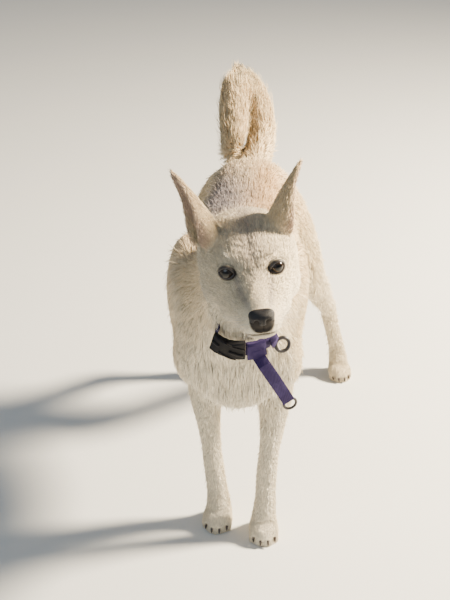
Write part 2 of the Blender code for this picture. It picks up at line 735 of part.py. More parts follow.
def slack(angle):
    """1 at the throat, where the collar hangs loose, falling to 0 at the neck's sides and over the nape."""
    return max(0.0, -math.sin(angle)) ** 2


def collar_radii(surface):
    """How far the strap's inner face stands from the neck's line, for each step round it."""
    left, nape, along = collar_frame()
    radii = []
    for k in range(COLLAR_SEGMENTS):
        angle = 2 * math.pi * k / COLLAR_SEGMENTS
        spoke = left * math.cos(angle) + nape * math.sin(angle)
        reach = []
        for offset in (-0.5, -0.25, 0, 0.25, 0.5):
            start = COLLAR_CENTRE + along * (offset * BAND_WIDTH)
            hit = surface.ray_cast(start, spoke)
            reach.append(hit[3])
        radii.append(max(reach))
    radii = np.array(radii)
    widest = np.maximum(radii, np.maximum(np.roll(radii, 1), np.roll(radii, -1)))
    return (np.roll(widest, 1) + 2 * widest + np.roll(widest, -1)) / 4 + COLLAR_LOOSE


def collar_point(radii, angle, out, offset):
    left, nape, along = collar_frame()
    step = angle / (2 * math.pi) * COLLAR_SEGMENTS
    base = int(math.floor(step))
    share = step - base
    low, high = radii[base % COLLAR_SEGMENTS], radii[(base + 1) % COLLAR_SEGMENTS]
    radius = low * (1 - share) + high * share
    spoke = left * math.cos(angle) + nape * math.sin(angle)
    loose = slack(angle)
    roll = COLLAR_ROLL * loose
    face = spoke * math.cos(roll) + along * math.sin(roll)
    edge = along * math.cos(roll) - spoke * math.sin(roll)
    middle = COLLAR_CENTRE + spoke * (radius + COLLAR_HANG * loose) - along * (COLLAR_DROP * loose)
    return middle + face * out + edge * offset


def strip_along(bm, radii, first, last, steps, section):
    """A solid strip that follows the collar between two angles; section gives its corners at a step."""
    rings = []
    for k in range(steps + 1):
        share = k / steps
        angle = first + (last - first) * share
        ring = [collar_point(radii, angle, out, offset) for out, offset in section(share)]
        rings.append([bm.verts.new(corner) for corner in ring])
    skin_over(bm, rings)


def frame_at(radii, angle):
    """Where the strap is at an angle, which way it runs there, which way it faces, and its edge's side."""
    before, here, after = (collar_point(radii, angle + step, 0, 0) for step in (-0.05, 0, 0.05))
    run = (after - before).normalized()
    edge = (collar_point(radii, angle, 0, 1) - here).normalized()
    edge = (edge - run * edge.dot(run)).normalized()
    return here, run, run.cross(edge).normalized(), edge


def wire_ring(centre, axis, outside, wire, name, home, segments=16, sides=5):
    turn = Vector((0, 0, 1)).rotation_difference(axis).to_matrix()
    bm = bmesh.new()
    rings = []
    for i in range(segments):
        around = 2 * math.pi * i / segments
        spoke = Vector((math.cos(around), math.sin(around), 0))
        ring = []
        for j in range(sides):
            angle = 2 * math.pi * (j + 0.5) / sides
            reach = outside - wire + wire * math.cos(angle)
            corner = spoke * reach + Vector((0, 0, wire * math.sin(angle)))
            ring.append(bm.verts.new(centre + turn @ corner))
        rings.append(ring)
    for i in range(segments):
        one, two = rings[i], rings[(i + 1) % segments]
        for j in range(sides):
            bm.faces.new((one[j], one[(j + 1) % sides], two[(j + 1) % sides], two[j]))
    return object_from(bm, name, home)


# Angles round the collar: 0 is the dog's left side, 90 degrees the nape and 270 the throat.
BUCKLE_AT, BUCKLE_HALF = math.radians(260), math.radians(13)
SADDLE_AT, SADDLE_HALF = math.radians(281.5), math.radians(7)
TAB_AT, TAB_HALF = math.radians(297), math.radians(4)
LOOP_LINE = (
    (0.0410, -0.1945, 0.3960),
    (0.0540, -0.1880, 0.3720),
    (0.0660, -0.1800, 0.3480),
    (0.0725, -0.1760, 0.3345),
)
LOOP_WIDTH, LOOP_THICK = 0.0165, 0.0054


def add_band(radii, parts):
    """The webbing, from one end of the buckle round the neck to the other."""
    half = BAND_WIDTH / 2
    space = GAP / 0.07
    first = BUCKLE_AT + BUCKLE_HALF + space
    last = BUCKLE_AT - BUCKLE_HALF - space + 2 * math.pi
    corners = ((0, -half), (BAND_THICK, -half), (BAND_THICK, half), (0, half))
    bm = bmesh.new()
    strip_along(bm, radii, first, last, COLLAR_SEGMENTS, lambda share: corners)
    return object_from(bm, "collar_band", parts)


def buckle_section(share):
    """The buckle is thickest at its middle, and slightly waisted there."""
    swell = 0.0068 + 0.0026 * math.sin(math.pi * share)
    wide = 0.0140 - 0.0022 * math.sin(math.pi * share) ** 2
    edge = 0.0016
    near = [(0.0001, -wide), (swell - edge, -wide), (swell, -wide + edge)]
    return near + [(out, -offset) for out, offset in reversed(near)]


def add_buckle(radii, parts):
    bm = bmesh.new()
    strip_along(bm, radii, BUCKLE_AT - BUCKLE_HALF, BUCKLE_AT + BUCKLE_HALF, 6, buckle_section)
    object_from(bm, "collar_buckle", parts)


def add_ring(radii, band, parts, tools):
    """The round ring hangs from a short tab that is sewn to the strap."""
    here, run, face, edge = frame_at(radii, TAB_AT)
    root, top = BAND_THICK - 0.0006, BAND_THICK + 0.0078
    corners = ((root, -0.0075), (top, -0.0075), (top, 0.0010), (root, 0.0030))
    bm = bmesh.new()
    strip_along(bm, radii, TAB_AT - TAB_HALF, TAB_AT + TAB_HALF, 2, lambda share: corners)
    combine(band, "UNION", [object_from(bm, "tab", tools)])
    axis = (face * 0.55 + Vector((0.02, -0.80, 0.42))).normalized()
    hang = (run * 0.15 - edge).normalized()
    hang = (hang - axis * hang.dot(axis)).normalized()
    tab_end = here + face * (BAND_THICK + 0.0042) - edge * 0.0035
    centre = tab_end + hang * (RING_OUTSIDE - RING_WIRE)
    wire_ring(centre, axis, RING_OUTSIDE, RING_WIRE, "collar_ring", parts)
    space = wire_ring(centre, axis, RING_OUTSIDE + GAP, RING_WIRE + GAP, "ring_space", tools)
    combine(band, "DIFFERENCE", [space])


def strap_directions(line, i):
    """Which way the hanging strap runs at a point of its line, across it, and out of its face."""
    ahead = (line[min(i + 1, len(line) - 1)] - line[max(i - 1, 0)]).normalized()
    across = ahead.cross(Vector((0.25, -1, 0.1))).normalized()
    return ahead, across, across.cross(ahead)


def add_loop(radii, parts, tools):
    """A short doubled strap is folded over the band, and its D ring swings to the dog's left."""
    half = BAND_WIDTH / 2
    near, far = BAND_THICK + GAP, BAND_THICK + 0.0058
    corners = (
        (near, -half - 0.0030), (far, -half - 0.0030), (far, half - 0.0010),
        (BAND_THICK + 0.0034, half + 0.0016), (near, half + 0.0016),
    )
    bm = bmesh.new()
    strip_along(bm, radii, SADDLE_AT - SADDLE_HALF, SADDLE_AT + SADDLE_HALF, 3, lambda share: corners)
    loop = object_from(bm, "collar_loop", parts)
    here, run, face, edge = frame_at(radii, SADDLE_AT)
    start = here + face * (BAND_THICK + 0.0031)
    line = [start, start - edge * (half + 0.004)] + [Vector(point) for point in LOOP_LINE]
    last = len(line) - 1
    bm = bmesh.new()
    rings = []
    for i, point in enumerate(line):
        ahead, across, out = strap_directions(line, i)
        thick = LOOP_THICK + (0.0016 if i == last else 0)
        section = ((-1, -1), (1, -1), (1, 1), (-1, 1))
        ring = [point + across * (a * LOOP_WIDTH / 2) + out * (b * thick / 2) for a, b in section]
        rings.append([bm.verts.new(corner) for corner in ring])
    skin_over(bm, rings)
    combine(loop, "UNION", [object_from(bm, "hanging_strap", tools)])
    ahead, across, axis = strap_directions(line, last)
    centre = line[last] + ahead * (D_RING_OUTSIDE - D_RING_WIRE - 0.0035)
    wire_ring(centre, axis, D_RING_OUTSIDE, D_RING_WIRE, "collar_d_ring", parts)
    space = wire_ring(centre, axis, D_RING_OUTSIDE + GAP, D_RING_WIRE + GAP, "d_ring_space", tools)
    combine(loop, "DIFFERENCE", [space])


# ---------------------------------------------------------------- finishing

LOOKS = {
    "coat_cream": ((0.80, 0.68, 0.50), 0.9, 0),
    "coat_pale": ((0.86, 0.80, 0.70), 0.9, 0),
    "coat_fawn": ((0.74, 0.56, 0.38), 0.9, 0),
    "eye_brown": ((0.05, 0.025, 0.012), 0.1, 0),
    "nose_black": ((0.015, 0.014, 0.015), 0.5, 0),
    "webbing_purple": ((0.06, 0.03, 0.20), 0.85, 0),
    "buckle_black": ((0.012, 0.012, 0.014), 0.4, 0),
    "ring_steel": ((0.40, 0.38, 0.36), 0.35, 1),
}
LOOK_OF = {
    "tail": "coat_fawn",
    "ear": "coat_fawn",
    "paw": "coat_pale",
    "foreleg": "coat_pale",
    "eye": "eye_brown",
    "nose": "nose_black",
    "collar_band": "webbing_purple",
    "collar_loop": "webbing_purple",
    "collar_buckle": "buckle_black",
    "collar_ring": "ring_steel",
    "collar_d_ring": "ring_steel",
}


def paint(parts):
    made = {name: material(name, *look) for name, look in LOOKS.items()}
    for obj in parts.objects:
        looks = [look for start, look in LOOK_OF.items() if obj.name.startswith(start)]
        look = looks[0] if looks else "coat_cream"
        obj.data.materials.clear()
        obj.data.materials.append(made[look])


def centre_over_origin(parts):
    """Moves the whole dog so that the middle of its box stands over the origin."""
    corners = np.array([vert.co for obj in parts.objects for vert in obj.data.vertices])
    middle = (corners.min(axis=0) + corners.max(axis=0)) / 2
    shift = Matrix.Translation((-middle[0], -middle[1], 0))
    for obj in parts.objects:
        obj.data.transform(shift)


def main():
    clear_scene()
    parts = new_collection("dog")
    tools = new_collection("cutters")
    tools.hide_render = True
    clay = clay_body(tools)
    surface = BVHTree.FromObject(clay, bpy.context.evaluated_depsgraph_get())
    radii = collar_radii(surface)
    pieces = part_clay(clay, parts, tools)
    add_face(pieces["head"], surface, parts, tools)
    band = add_band(radii, parts)
    add_buckle(radii, parts)
    add_ring(radii, band, parts, tools)
    add_loop(radii, parts, tools)
    for cutter in tools.objects:
        cutter.hide_render = True
        cutter.display_type = "WIRE"
    paint(parts)
    centre_over_origin(parts)


main()
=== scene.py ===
"""The dog's looks: one skin under a short dense coat, eyes, nose pad, claws, whiskers and a webbing collar.

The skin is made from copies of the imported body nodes, fused, softened and sunk by the coat's depth.
The coat is made of closed slender tufts, combed along the body and joined into a few pieces.
Metres, +Z up; the dog faces -Y and its left side is towards +X.
"""

import math
from contextlib import contextmanager

import bmesh
import bpy
import numpy as np
from mathutils import Matrix, Vector
from mathutils.bvhtree import BVHTree
from mathutils.kdtree import KDTree


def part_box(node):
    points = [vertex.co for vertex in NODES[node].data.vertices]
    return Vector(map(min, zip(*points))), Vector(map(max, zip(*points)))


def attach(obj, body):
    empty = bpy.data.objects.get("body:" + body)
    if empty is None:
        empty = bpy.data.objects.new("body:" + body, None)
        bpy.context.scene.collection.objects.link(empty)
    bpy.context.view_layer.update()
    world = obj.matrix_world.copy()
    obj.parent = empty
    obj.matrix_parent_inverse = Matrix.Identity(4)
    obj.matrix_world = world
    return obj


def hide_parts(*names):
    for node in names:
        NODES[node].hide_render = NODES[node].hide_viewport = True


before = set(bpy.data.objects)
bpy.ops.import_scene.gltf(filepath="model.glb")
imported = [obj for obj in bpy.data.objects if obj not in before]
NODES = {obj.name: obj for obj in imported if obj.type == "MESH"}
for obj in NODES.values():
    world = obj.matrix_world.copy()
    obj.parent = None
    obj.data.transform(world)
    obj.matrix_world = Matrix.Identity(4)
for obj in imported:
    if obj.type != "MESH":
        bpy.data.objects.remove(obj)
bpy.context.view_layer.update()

SIDES = {"left": 1, "right": -1}
TRIMMINGS = ("collar", "eye", "nose")
FLESH = [name for name in NODES if not name.startswith(TRIMMINGS)]
rng = np.random.default_rng(12)

# --- places taken from the frame


def box_centre(node):
    low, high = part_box(node)
    return (low + high) / 2


EYES = {side: box_centre(f"eye_{side}") for side in SIDES}
EYE_RADIUS = (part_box("eye_left")[1].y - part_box("eye_left")[0].y) / 2
NOSE = box_centre("nose")
MUZZLE_SLOPE = math.radians(19)      # from the nose pad up to the line between the eyes


def head_place():
    """The head's own frame: origin between the eyes, X to the dog's left, Y to the nape, Z up."""
    middle = (EYES["left"] + EYES["right"]) / 2
    left = (EYES["left"] - EYES["right"]).normalized()
    along = middle - NOSE
    along = (along - left * along.dot(left)).normalized()
    back = Matrix.Rotation(-MUZZLE_SLOPE, 3, left) @ along
    turn = Matrix((left, back, left.cross(back))).transposed().to_4x4()
    return Matrix.Translation(middle) @ turn


HEAD = head_place()
HEAD_INVERSE = HEAD.inverted()
HEAD_TURN = HEAD.to_3x3()

# --- meshes as arrays of numbers
FAR = 9.0                             # farther than anything on the dog
MERGE = 1e-6


def select_only(objects):
    """Selects these objects alone, the first one active."""
    for obj in bpy.context.selected_objects:
        obj.select_set(False)
    for obj in objects:
        obj.select_set(True)
    bpy.context.view_layer.objects.active = objects[0]


def add_object(mesh):
    made = bpy.data.objects.new(mesh.name, mesh)
    bpy.context.scene.collection.objects.link(made)
    return made


def bake(obj):
    """Replaces an object's mesh by what its modifiers make of it."""
    graph = bpy.context.evaluated_depsgraph_get()
    mesh = bpy.data.meshes.new_from_object(obj.evaluated_get(graph))
    obj.modifiers.clear()
    obj.data = mesh


@contextmanager
def edited(mesh):
    """Opens a mesh for editing and writes it back."""
    bm = bmesh.new()
    bm.from_mesh(mesh)
    yield bm
    bm.to_mesh(mesh)
    bm.free()


def smooth(mesh):
    mesh.polygons.foreach_set("use_smooth", np.ones(len(mesh.polygons), bool))


def rows_of(items, field, width=3, kind=float):
    """One field of a mesh's items as an array, with a row for each item."""
    values = np.empty(len(items) * width, kind)
    items.foreach_get(field, values)
    return values.reshape(-1, width)


def points_of(mesh):
    return rows_of(mesh.vertices, "co")


def normals_of(mesh):
    return rows_of(mesh.vertex_normals, "vector")


def edges_of(mesh):
    return rows_of(mesh.edges, "vertices", 2, int)


def move_points(mesh, points):
    mesh.vertices.foreach_set("co", points.astype(np.float32).ravel())
    mesh.update()


def search_tree(places):
    tree = KDTree(len(places))
    for i, place in enumerate(places):
        tree.insert(place, i)
    tree.balance()
    return tree


def neighbour_mean(values, edges):
    """For each vertex, the mean of its neighbours' values."""
    count = len(values)
    one, two = edges.T
    degree = np.bincount(one, minlength=count) + np.bincount(two, minlength=count)
    columns = []
    for column in values.T:
        total = np.bincount(one, column[two], count) + np.bincount(two, column[one], count)
        columns.append(total / np.maximum(degree, 1))
    return np.stack(columns, axis=1)


def soften(values, edges, rounds, share=1.0, step=0.5):
    """Evens out values between neighbours; share may differ from vertex to vertex."""
    for _ in range(rounds):
        values = values + share * (neighbour_mean(values, edges) - values) * step
    return values


def lengths(vectors):
    return np.linalg.norm(vectors, axis=1)


def unit(vectors):
    return vectors / np.maximum(lengths(vectors)[:, None], 1e-9)


def ramp(values, low, high):
    """0 up to low, 1 from high, and smooth between."""
    t = np.clip((values - low) / (high - low), 0, 1)
    return t * t * (3 - 2 * t)


def bump(values, centre, width):
    return np.exp(-(((values - centre) / width) ** 2))


def blot(across, along, centre, size):
    """A soft oval spot over two directions."""
    return np.exp(-(((across - centre[0]) / size[0]) ** 2) - (((along - centre[1]) / size[1]) ** 2))


def into(matrix, points):
    matrix = np.array(matrix)
    return points @ matrix[:3, :3].T + matrix[:3, 3]


# --- the coat's figures
# hair length, lift in degrees, tuft width, spacing between roots and depth over the skin, in mm
COAT = {
    "head": (8.5, 10, 0.62, 1.16, 1.7),
    "ear": (6.5, 12, 0.58, 1.20, 0.3),
    "neck": (22.0, 15, 0.95, 1.72, 5.5),
    "trunk": (21.0, 13, 1.00, 1.80, 4.5),
    "tail": (21.0, 14, 1.05, 1.40, 6.2),
    "foreleg": (11.0, 12, 0.94, 1.76, 2.2),
    "hindleg": (15.0, 13, 1.04, 1.88, 3.0),
    "paw": (5.5, 12, 0.70, 1.36, 1.0),
}
LENGTH, LIFT, WIDTH, SPACING, DEPTH = range(5)
REGIONS = tuple(COAT)
REGION_OF = np.array([REGIONS.index(name.split("_")[0]) for name in FLESH])
HEAD_REGION, TAIL_REGION = REGIONS.index("head"), REGIONS.index("tail")


def node_tree():
    """The body's nodes as points to search, and the node that each point is on."""
    places, owners = [], []
    for index, name in enumerate(FLESH):
        mesh = NODES[name].data
        for face in mesh.polygons:
            places += [face.center] + [mesh.vertices[v].co for v in face.vertices]
            owners += [index] * (1 + len(face.vertices))
    return search_tree(places), np.array(owners)


NODE_TREE, NODE_AT = node_tree()


def owners_of(points):
    """For each point, the number of the node of the body that it lies on."""
    return NODE_AT[[NODE_TREE.find(point)[1] for point in points]]


def by_region(table, owner, usual=1.0):
    """One column of values, by the region that each place is in."""
    return np.array([table.get(region, usual) for region in REGIONS])[REGION_OF[owner]][:, None]


# --- the skin
SKIN_VOXEL = 0.0018
SKIN_TRIANGLES = 150000
GROWTH, EAR_GROWTH = 0.0003, 0.0005   # closes the gaps between the nodes
EASE = {"head": 0.45, "ear": 0.10, "paw": 0.30, "tail": 0.6}
EASE_ROUNDS, EASE_IN, EASE_OUT = 36, 0.55, 0.50     # in and out again, so that nothing gets thin
ROUND_OFF = {"head": 0.18, "ear": 0.14, "paw": 0.18, "tail": 0.3}
FLOOR_CLEAR = 0.0004


def fused_body():
    """Copies of the body's nodes, each a little thickened to close the gaps between them, as one mesh."""
    mesh = bpy.data.meshes.new("skin")
    with edited(mesh) as whole:
        for name, obj in NODES.items():
            if name.startswith("collar"):
                continue
            part = obj.data.copy()
            with edited(part) as bm:
                bmesh.ops.remove_doubles(bm, verts=bm.verts, dist=MERGE)
                bm.normal_update()
                for vert in bm.verts:
                    vert.co = vert.co + vert.normal * (EAR_GROWTH if name.startswith("ear") else GROWTH)
            whole.from_mesh(part)
            bpy.data.meshes.remove(part)
    skin = add_object(mesh)
    remesh = skin.modifiers.new("fuse", "REMESH")
    remesh.mode, remesh.voxel_size = "VOXEL", SKIN_VOXEL
    bake(skin)
    return skin


def relax(skin):
    """Takes the flat facets out of the fused body, gently on the head and hardly on the ears."""
    points, edges = points_of(skin.data), edges_of(skin.data)
    owner = owners_of(points)
    share = soften(by_region(EASE, owner), edges, 6)
    for _ in range(EASE_ROUNDS):
        points = points + share * (neighbour_mean(points, edges) - points) * EASE_IN
        points = points - share * (neighbour_mean(points, edges) - points) * EASE_OUT
    move_points(skin.data, points)
    return owner


def thin_body(skin, owner):
    """Fewer faces on the body, while the head and the ears keep theirs."""
    group = skin.vertex_groups.new(name="coarse")
    group.add(np.flatnonzero(by_region({"head": 0.0, "ear": 0.0}, owner)).tolist(), 1.0, "REPLACE")
    step = skin.modifiers.new("thin", "DECIMATE")
    step.vertex_group = "coarse"
    step.vertex_group_factor = 1.0
    step.ratio = SKIN_TRIANGLES / (2 * len(skin.data.polygons))
    bake(skin)
    skin.vertex_groups.clear()


def drop_crumbs(mesh):
    """Keeps the largest shell and drops what the fusing leaves inside the body."""
    one, two = edges_of(mesh).T
    label = np.arange(len(mesh.vertices))
    while True:
        low = np.minimum(label[one], label[two])
        fresh = label.copy()
        np.minimum.at(fresh, one, low)
        np.minimum.at(fresh, two, low)
        fresh = fresh[fresh]
        if (fresh == label).all():
            break
        label = fresh
    values, counts = np.unique(label, return_counts=True)
    crumbs = np.flatnonzero(label != values[counts.argmax()])
    with edited(mesh) as bm:
        bm.verts.ensure_lookup_table()
        bmesh.ops.delete(bm, geom=[bm.verts[i] for i in crumbs], context="VERTS")


def refine(mesh, chosen):
    """Splits the edges whose two ends are chosen, for more detail there."""
    inside = chosen(points_of(mesh))
    with edited(mesh) as bm:
        edges = [edge for edge in bm.edges if inside[edge.verts[0].index] and inside[edge.verts[1].index]]
        bmesh.ops.subdivide_edges(bm, edges=edges, cuts=1, use_grid_fill=True)
        bmesh.ops.triangulate(bm, faces=[face for face in bm.faces if len(face.verts) > 3])


def round_off(mesh):
    """Rounds the whole skin once more, least on the head and the ears, but fully where they meet."""
    points, edges = points_of(mesh), edges_of(mesh)
    owner = owners_of(points)
    seam = soften(by_region({"ear": 1.0}, owner, 0.0), edges, 12)
    share = soften(by_region(ROUND_OFF, owner), edges, 5)
    share = np.maximum(share, 0.95 * ((seam > 0.12) & (seam < 0.88)))
    points = soften(points, edges, 16, share, 0.6)
    move_points(mesh, points)
    return points, owner


def sink(mesh, points, owner):
    """Moves the skin in by the coat's depth."""
    normals, edges = normals_of(mesh), edges_of(mesh)
    figures = coat_figures(points, normals, edges, owner)
    points = points - unit(soften(normals, edges, 10)) * figures[:, DEPTH:DEPTH + 1]
    points[:, 2] = np.maximum(points[:, 2], FLOOR_CLEAR)
    move_points(mesh, points)


# --- eyes: where they are and how they open
EYE_SHIFT = Vector((-0.0010, 0.0, 0.0022))
EYE_SINK = 0.0012                     # the eyes sit this much deeper than the solids' plain balls
BALL = EYE_RADIUS - 0.0004
LID, LID_WRAP, CREASE = 0.0012, 0.0062, 0.0008      # thickness, reach and fold of a lid over the eyeball
CORNEA, RIM_LIFT = 0.0007, 0.00055    # the bulge in front, and the lids' rim over the ball
SLIT_HALF, SLIT_UP, SLIT_DOWN = 0.0093, 0.0068, 0.0062
SLIT_TILT = math.radians(9)           # the outer corner is held higher
GAZE = Vector((0.30, -0.94, 0.12))    # the left eye's, in the head's frame
UP_ARC, DOWN_ARC = ((SLIT_HALF**2 + rise**2) / (2 * rise) for rise in (SLIT_UP, SLIT_DOWN))


class Eye:
    """One eye's own axes: out towards the side of the head, up, and forward along the gaze."""

    def __init__(self, side):
        sign = SIDES[side]
        self.forward = (HEAD_TURN @ Vector((GAZE.x * sign, GAZE.y, GAZE.z))).normalized()
        out = HEAD_TURN @ Vector((sign, 0, 0))
        out = (out - self.forward * out.dot(self.forward)).normalized()
        up = self.forward.cross(out) * sign
        up = up if up.z > 0 else -up
        outwards = (out * math.cos(SLIT_TILT) + up * math.sin(SLIT_TILT)).normalized()
        upwards = (up * math.cos(SLIT_TILT) - out * math.sin(SLIT_TILT)).normalized()
        self.middle = EYES[side] - self.forward * EYE_SINK + HEAD_TURN @ EYE_SHIFT
        self.centre = np.array(self.middle)
        self.axes = np.array((outwards, upwards, self.forward))

    def local(self, points):
        return (points - self.centre) @ self.axes.T

    def world(self, local):
        return local @ self.axes + self.centre

    def margin(self, count, radius):
        """Points along the edge of the lids, at a radius from the eyeball's centre."""
        across = SLIT_HALF * np.cos(np.linspace(0, math.pi, count, endpoint=False))
        upper = SLIT_UP - UP_ARC + np.sqrt(UP_ARC**2 - across**2)
        lower = DOWN_ARC - SLIT_DOWN - np.sqrt(DOWN_ARC**2 - across**2)
        loop = np.concatenate((np.stack((across, upper), 1), np.stack((-across, lower), 1)))
        ahead = np.sqrt(np.maximum(radius**2 - (loop**2).sum(1), 0))
        return self.world(np.column_stack((loop, ahead)))


EYE = {side: Eye(side) for side in SIDES}


def beyond_slit(local):
    """How far a place is outside the opening between the lids; less than nothing inside it."""
    from_upper = np.hypot(local[:, 0], local[:, 1] - (SLIT_UP - UP_ARC)) - UP_ARC
    from_lower = np.hypot(local[:, 0], local[:, 1] - (DOWN_ARC - SLIT_DOWN)) - DOWN_ARC
    return np.maximum(from_upper, from_lower)


# --- sculpting, in the head's frame
# The edge of the upper lip, from under the nose to the corner of the mouth: distance back and height.
LIP_LINE = ((-0.0810, -0.0400), (-0.0720, -0.0435), (-0.0600, -0.0470), (-0.0450, -0.0490),
            (-0.0300, -0.0490), (-0.0150, -0.0455))
LIP_GROOVE, LIP_SWELL, CLEFT, FURROW = 0.0012, 0.0006, 0.0009, 0.0016
# Soft rises and hollows on both sides of the head: place, size and height.
FORMS = {
    "brow": ((0.027, 0.006, 0.016), (0.011, 0.010, 0.006), 0.0026),
    "cheekbone": ((0.036, 0.002, -0.014), (0.012, 0.014, 0.006), 0.0008),
    "ridge between the ears": ((0.018, 0.062, 0.038), (0.026, 0.010, 0.016), 0.0030),
    "hollow before the eye": ((0.022, -0.026, -0.016), (0.008, 0.017, 0.009), -0.0024),
    "whisker pad": ((0.013, -0.064, -0.035), (0.009, 0.014, 0.006), 0.0016),
    "bridge of the muzzle": ((0.0, -0.040, -0.004), (0.008, 0.030, 0.010), 0.0010),
}
NOSE_PAD = (0, -0.0800, -0.0270)


def from_lip(head_points):
    """Distance to the lip's edge as seen from the side."""
    line = np.array(LIP_LINE)
    flat = head_points[:, 1:3]
    nearest = np.full(len(flat), FAR)
    for start, end in zip(line[:-1], line[1:]):
        run = end - start
        t = np.clip(((flat - start) @ run) / (run @ run), 0, 1)
        nearest = np.minimum(nearest, lengths(flat - start - t[:, None] * run))
    return nearest


def sculpt_head(mesh, owner):
    """Gives the head its brows, cheeks, muzzle and lips."""
    points, normals = points_of(mesh), normals_of(mesh)
    local = into(HEAD_INVERSE, points)
    across, back, up = local.T
    mirrored = np.column_stack((np.abs(across), local[:, 1:]))
    shift = np.zeros(len(points))
    for place, size, height in FORMS.values():
        away = (mirrored - np.array(place)) / np.array(size)
        shift += height * np.exp(-(away**2).sum(1))
    furrow = ramp(back, -0.012, 0.010) * (1 - ramp(back, 0.045, 0.070)) * ramp(up, 0.0, 0.015)
    shift -= FURROW * furrow * bump(across, 0, 0.0048)
    mouth = back < -0.012
    shift -= LIP_GROOVE * (bump(from_lip(local), 0, 0.0013) * mouth)
    shift += LIP_SWELL * bump(from_lip(local), 0.0035, 0.0020) * mouth
    cleft = bump(across, 0, 0.0011) * ramp(-back, 0.070, 0.076)
    shift -= CLEFT * cleft * ramp(up, -0.043, -0.039) * (1 - ramp(up, -0.030, -0.026))
    on_head = soften(by_region({"head": 1.0}, owner, 0.0), edges_of(mesh), 6)[:, 0]
    move_points(mesh, points + normals * (shift * on_head)[:, None])


def open_eyes(mesh):
    """Wraps the skin over each eyeball as lids and sinks it behind the opening between them."""
    points = points_of(mesh)
    for eye in EYE.values():
        local = eye.local(points)
        away = np.hypot(local[:, 0], local[:, 1])
        near = (away < 0.019) & (local[:, 2] > -0.012) & (local[:, 2] < 0.020)
        spot, beyond = local[near], beyond_slit(local[near])
        off_axis = (spot[:, :2] ** 2).sum(1)
        over = np.sqrt(np.maximum((BALL + LID) ** 2 - off_axis, 0.0036**2))
        under = np.sqrt(np.maximum((BALL - LID) ** 2 - off_axis, 0))
        wrap = 1 - ramp(beyond, 0.0010, LID_WRAP)
        height = spot[:, 2] * (1 - wrap) + over * wrap
        crease = bump(beyond, 0.0034, 0.0009) * (spot[:, 1] > 0)
        height = height - CREASE * crease
        inside = 1 - ramp(beyond, -0.0007, 0.0001)
        local[near, 2] = height * (1 - inside) + under * inside
        points[near] = eye.world(local)[near]
    move_points(mesh, points)


def by_eyes(points):
    fronts = [np.array(eye.middle + eye.forward * BALL) for eye in EYE.values()]
    return np.min([lengths(points - place) for place in fronts], axis=0) < 0.0135


def by_lips(points):
    local = into(HEAD_INVERSE, points)
    across, back, up = local.T
    cleft = (back < -0.066) & (np.abs(across) < 0.006) & (up < -0.02)
    return ((from_lip(local) < 0.005) & (back < -0.008)) | cleft


# --- claws and toes
# Where each paw stands and how far its toes turn out, in degrees.
FEET = {
    ("fore", "left"): (-0.00056, -0.10526, 4),
    ("fore", "right"): (-0.07156, -0.07926, 4),
    ("hind", "left"): (0.12944, 0.40474, 10),
    ("hind", "right"): (-0.12056, 0.37374, 10),
}
PAW_SIZE = {"fore": 1.0, "hind": 0.94}
TOES = ((-0.0155, 0.019), (-0.0056, 0.028), (0.0056, 0.028), (0.0155, 0.019))
CLAW_LENGTH, CLAW_RADIUS, CLAW_TIP, CLAW_DROP = 0.0115, 0.0024, 0.00035, 0.0046
TOE_END = 0.0022                      # the skin ends this far ahead of a claw's root


def claw_places():
    """For each claw, its root in the toe and its direction."""
    for (end, side), (x, y, turn) in FEET.items():
        size = PAW_SIZE[end]
        place = Matrix.Translation((x, y, 0)) @ Matrix.Rotation(math.radians(turn * SIDES[side]), 4, "Z")
        place = place @ Matrix.Diagonal((size, size, size, 1))
        for across, ahead in TOES:
            root = Vector((across * 1.06, -ahead - 0.007, 0.0118))
            yield place @ root, (place.to_3x3() @ Vector((0, -1, -0.35))).normalized()


CLAWS = list(claw_places())


def pull_in_claws(mesh):
    """The skin ends at the toes; the claws are pieces of their own."""
    points = points_of(mesh)
    touched = np.zeros(len(points), bool)
    for root, ahead in CLAWS:
        out = points - np.array(root)
        ahead = np.array(ahead)
        along = out @ ahead
        away = lengths(out - along[:, None] * ahead)
        claw = (along > TOE_END) & (away < 0.0058) & (along < 0.02)
        points[claw] -= ((along[claw] - TOE_END) * 0.92)[:, None] * ahead
        touched |= (np.abs(along) < 0.008) & (away < 0.008)
    move_points(mesh, soften(points, edges_of(mesh), 6, np.where(touched, 0.8, 0.0)[:, None]))


# --- the lie of the coat
TAIL_ROOT, TAIL_ROOT_REACH = (-0.033, 0.322, 0.446), 0.034
MUZZLE = (0, -0.105, -0.030)          # the face's hair spreads from here, in the head's frame
LIMB_LIE = {"foreleg": (0, 0.22, -1), "hindleg": (0, 0.45, -1), "paw": (0, -0.8, -0.5)}


def along_graph(points, edges, start, allowed):
    """Distance over the skin from the start places, within the allowed ones."""
    far = np.full(len(points), FAR)
    far[start] = 0
    one, two = edges[allowed[edges[:, 0]] & allowed[edges[:, 1]]].T
    span = lengths(points[one] - points[two])
    for _ in range(600):
        before = far.copy()
        np.minimum.at(far, one, far[two] + span)
        np.minimum.at(far, two, far[one] + span)
        if np.abs(far - before).max() < 1e-9:
            break
    return far


def slope_of(values, points, edges):
    """The direction in which values grow over the skin."""
    one, two = edges.T
    push = (values[two] - values[one])[:, None] * (points[two] - points[one])
    push[np.abs(values[two] - values[one]) > 0.05] = 0
    total = np.zeros_like(points)
    np.add.at(total, one, push)
    np.add.at(total, two, push)
    return unit(total)


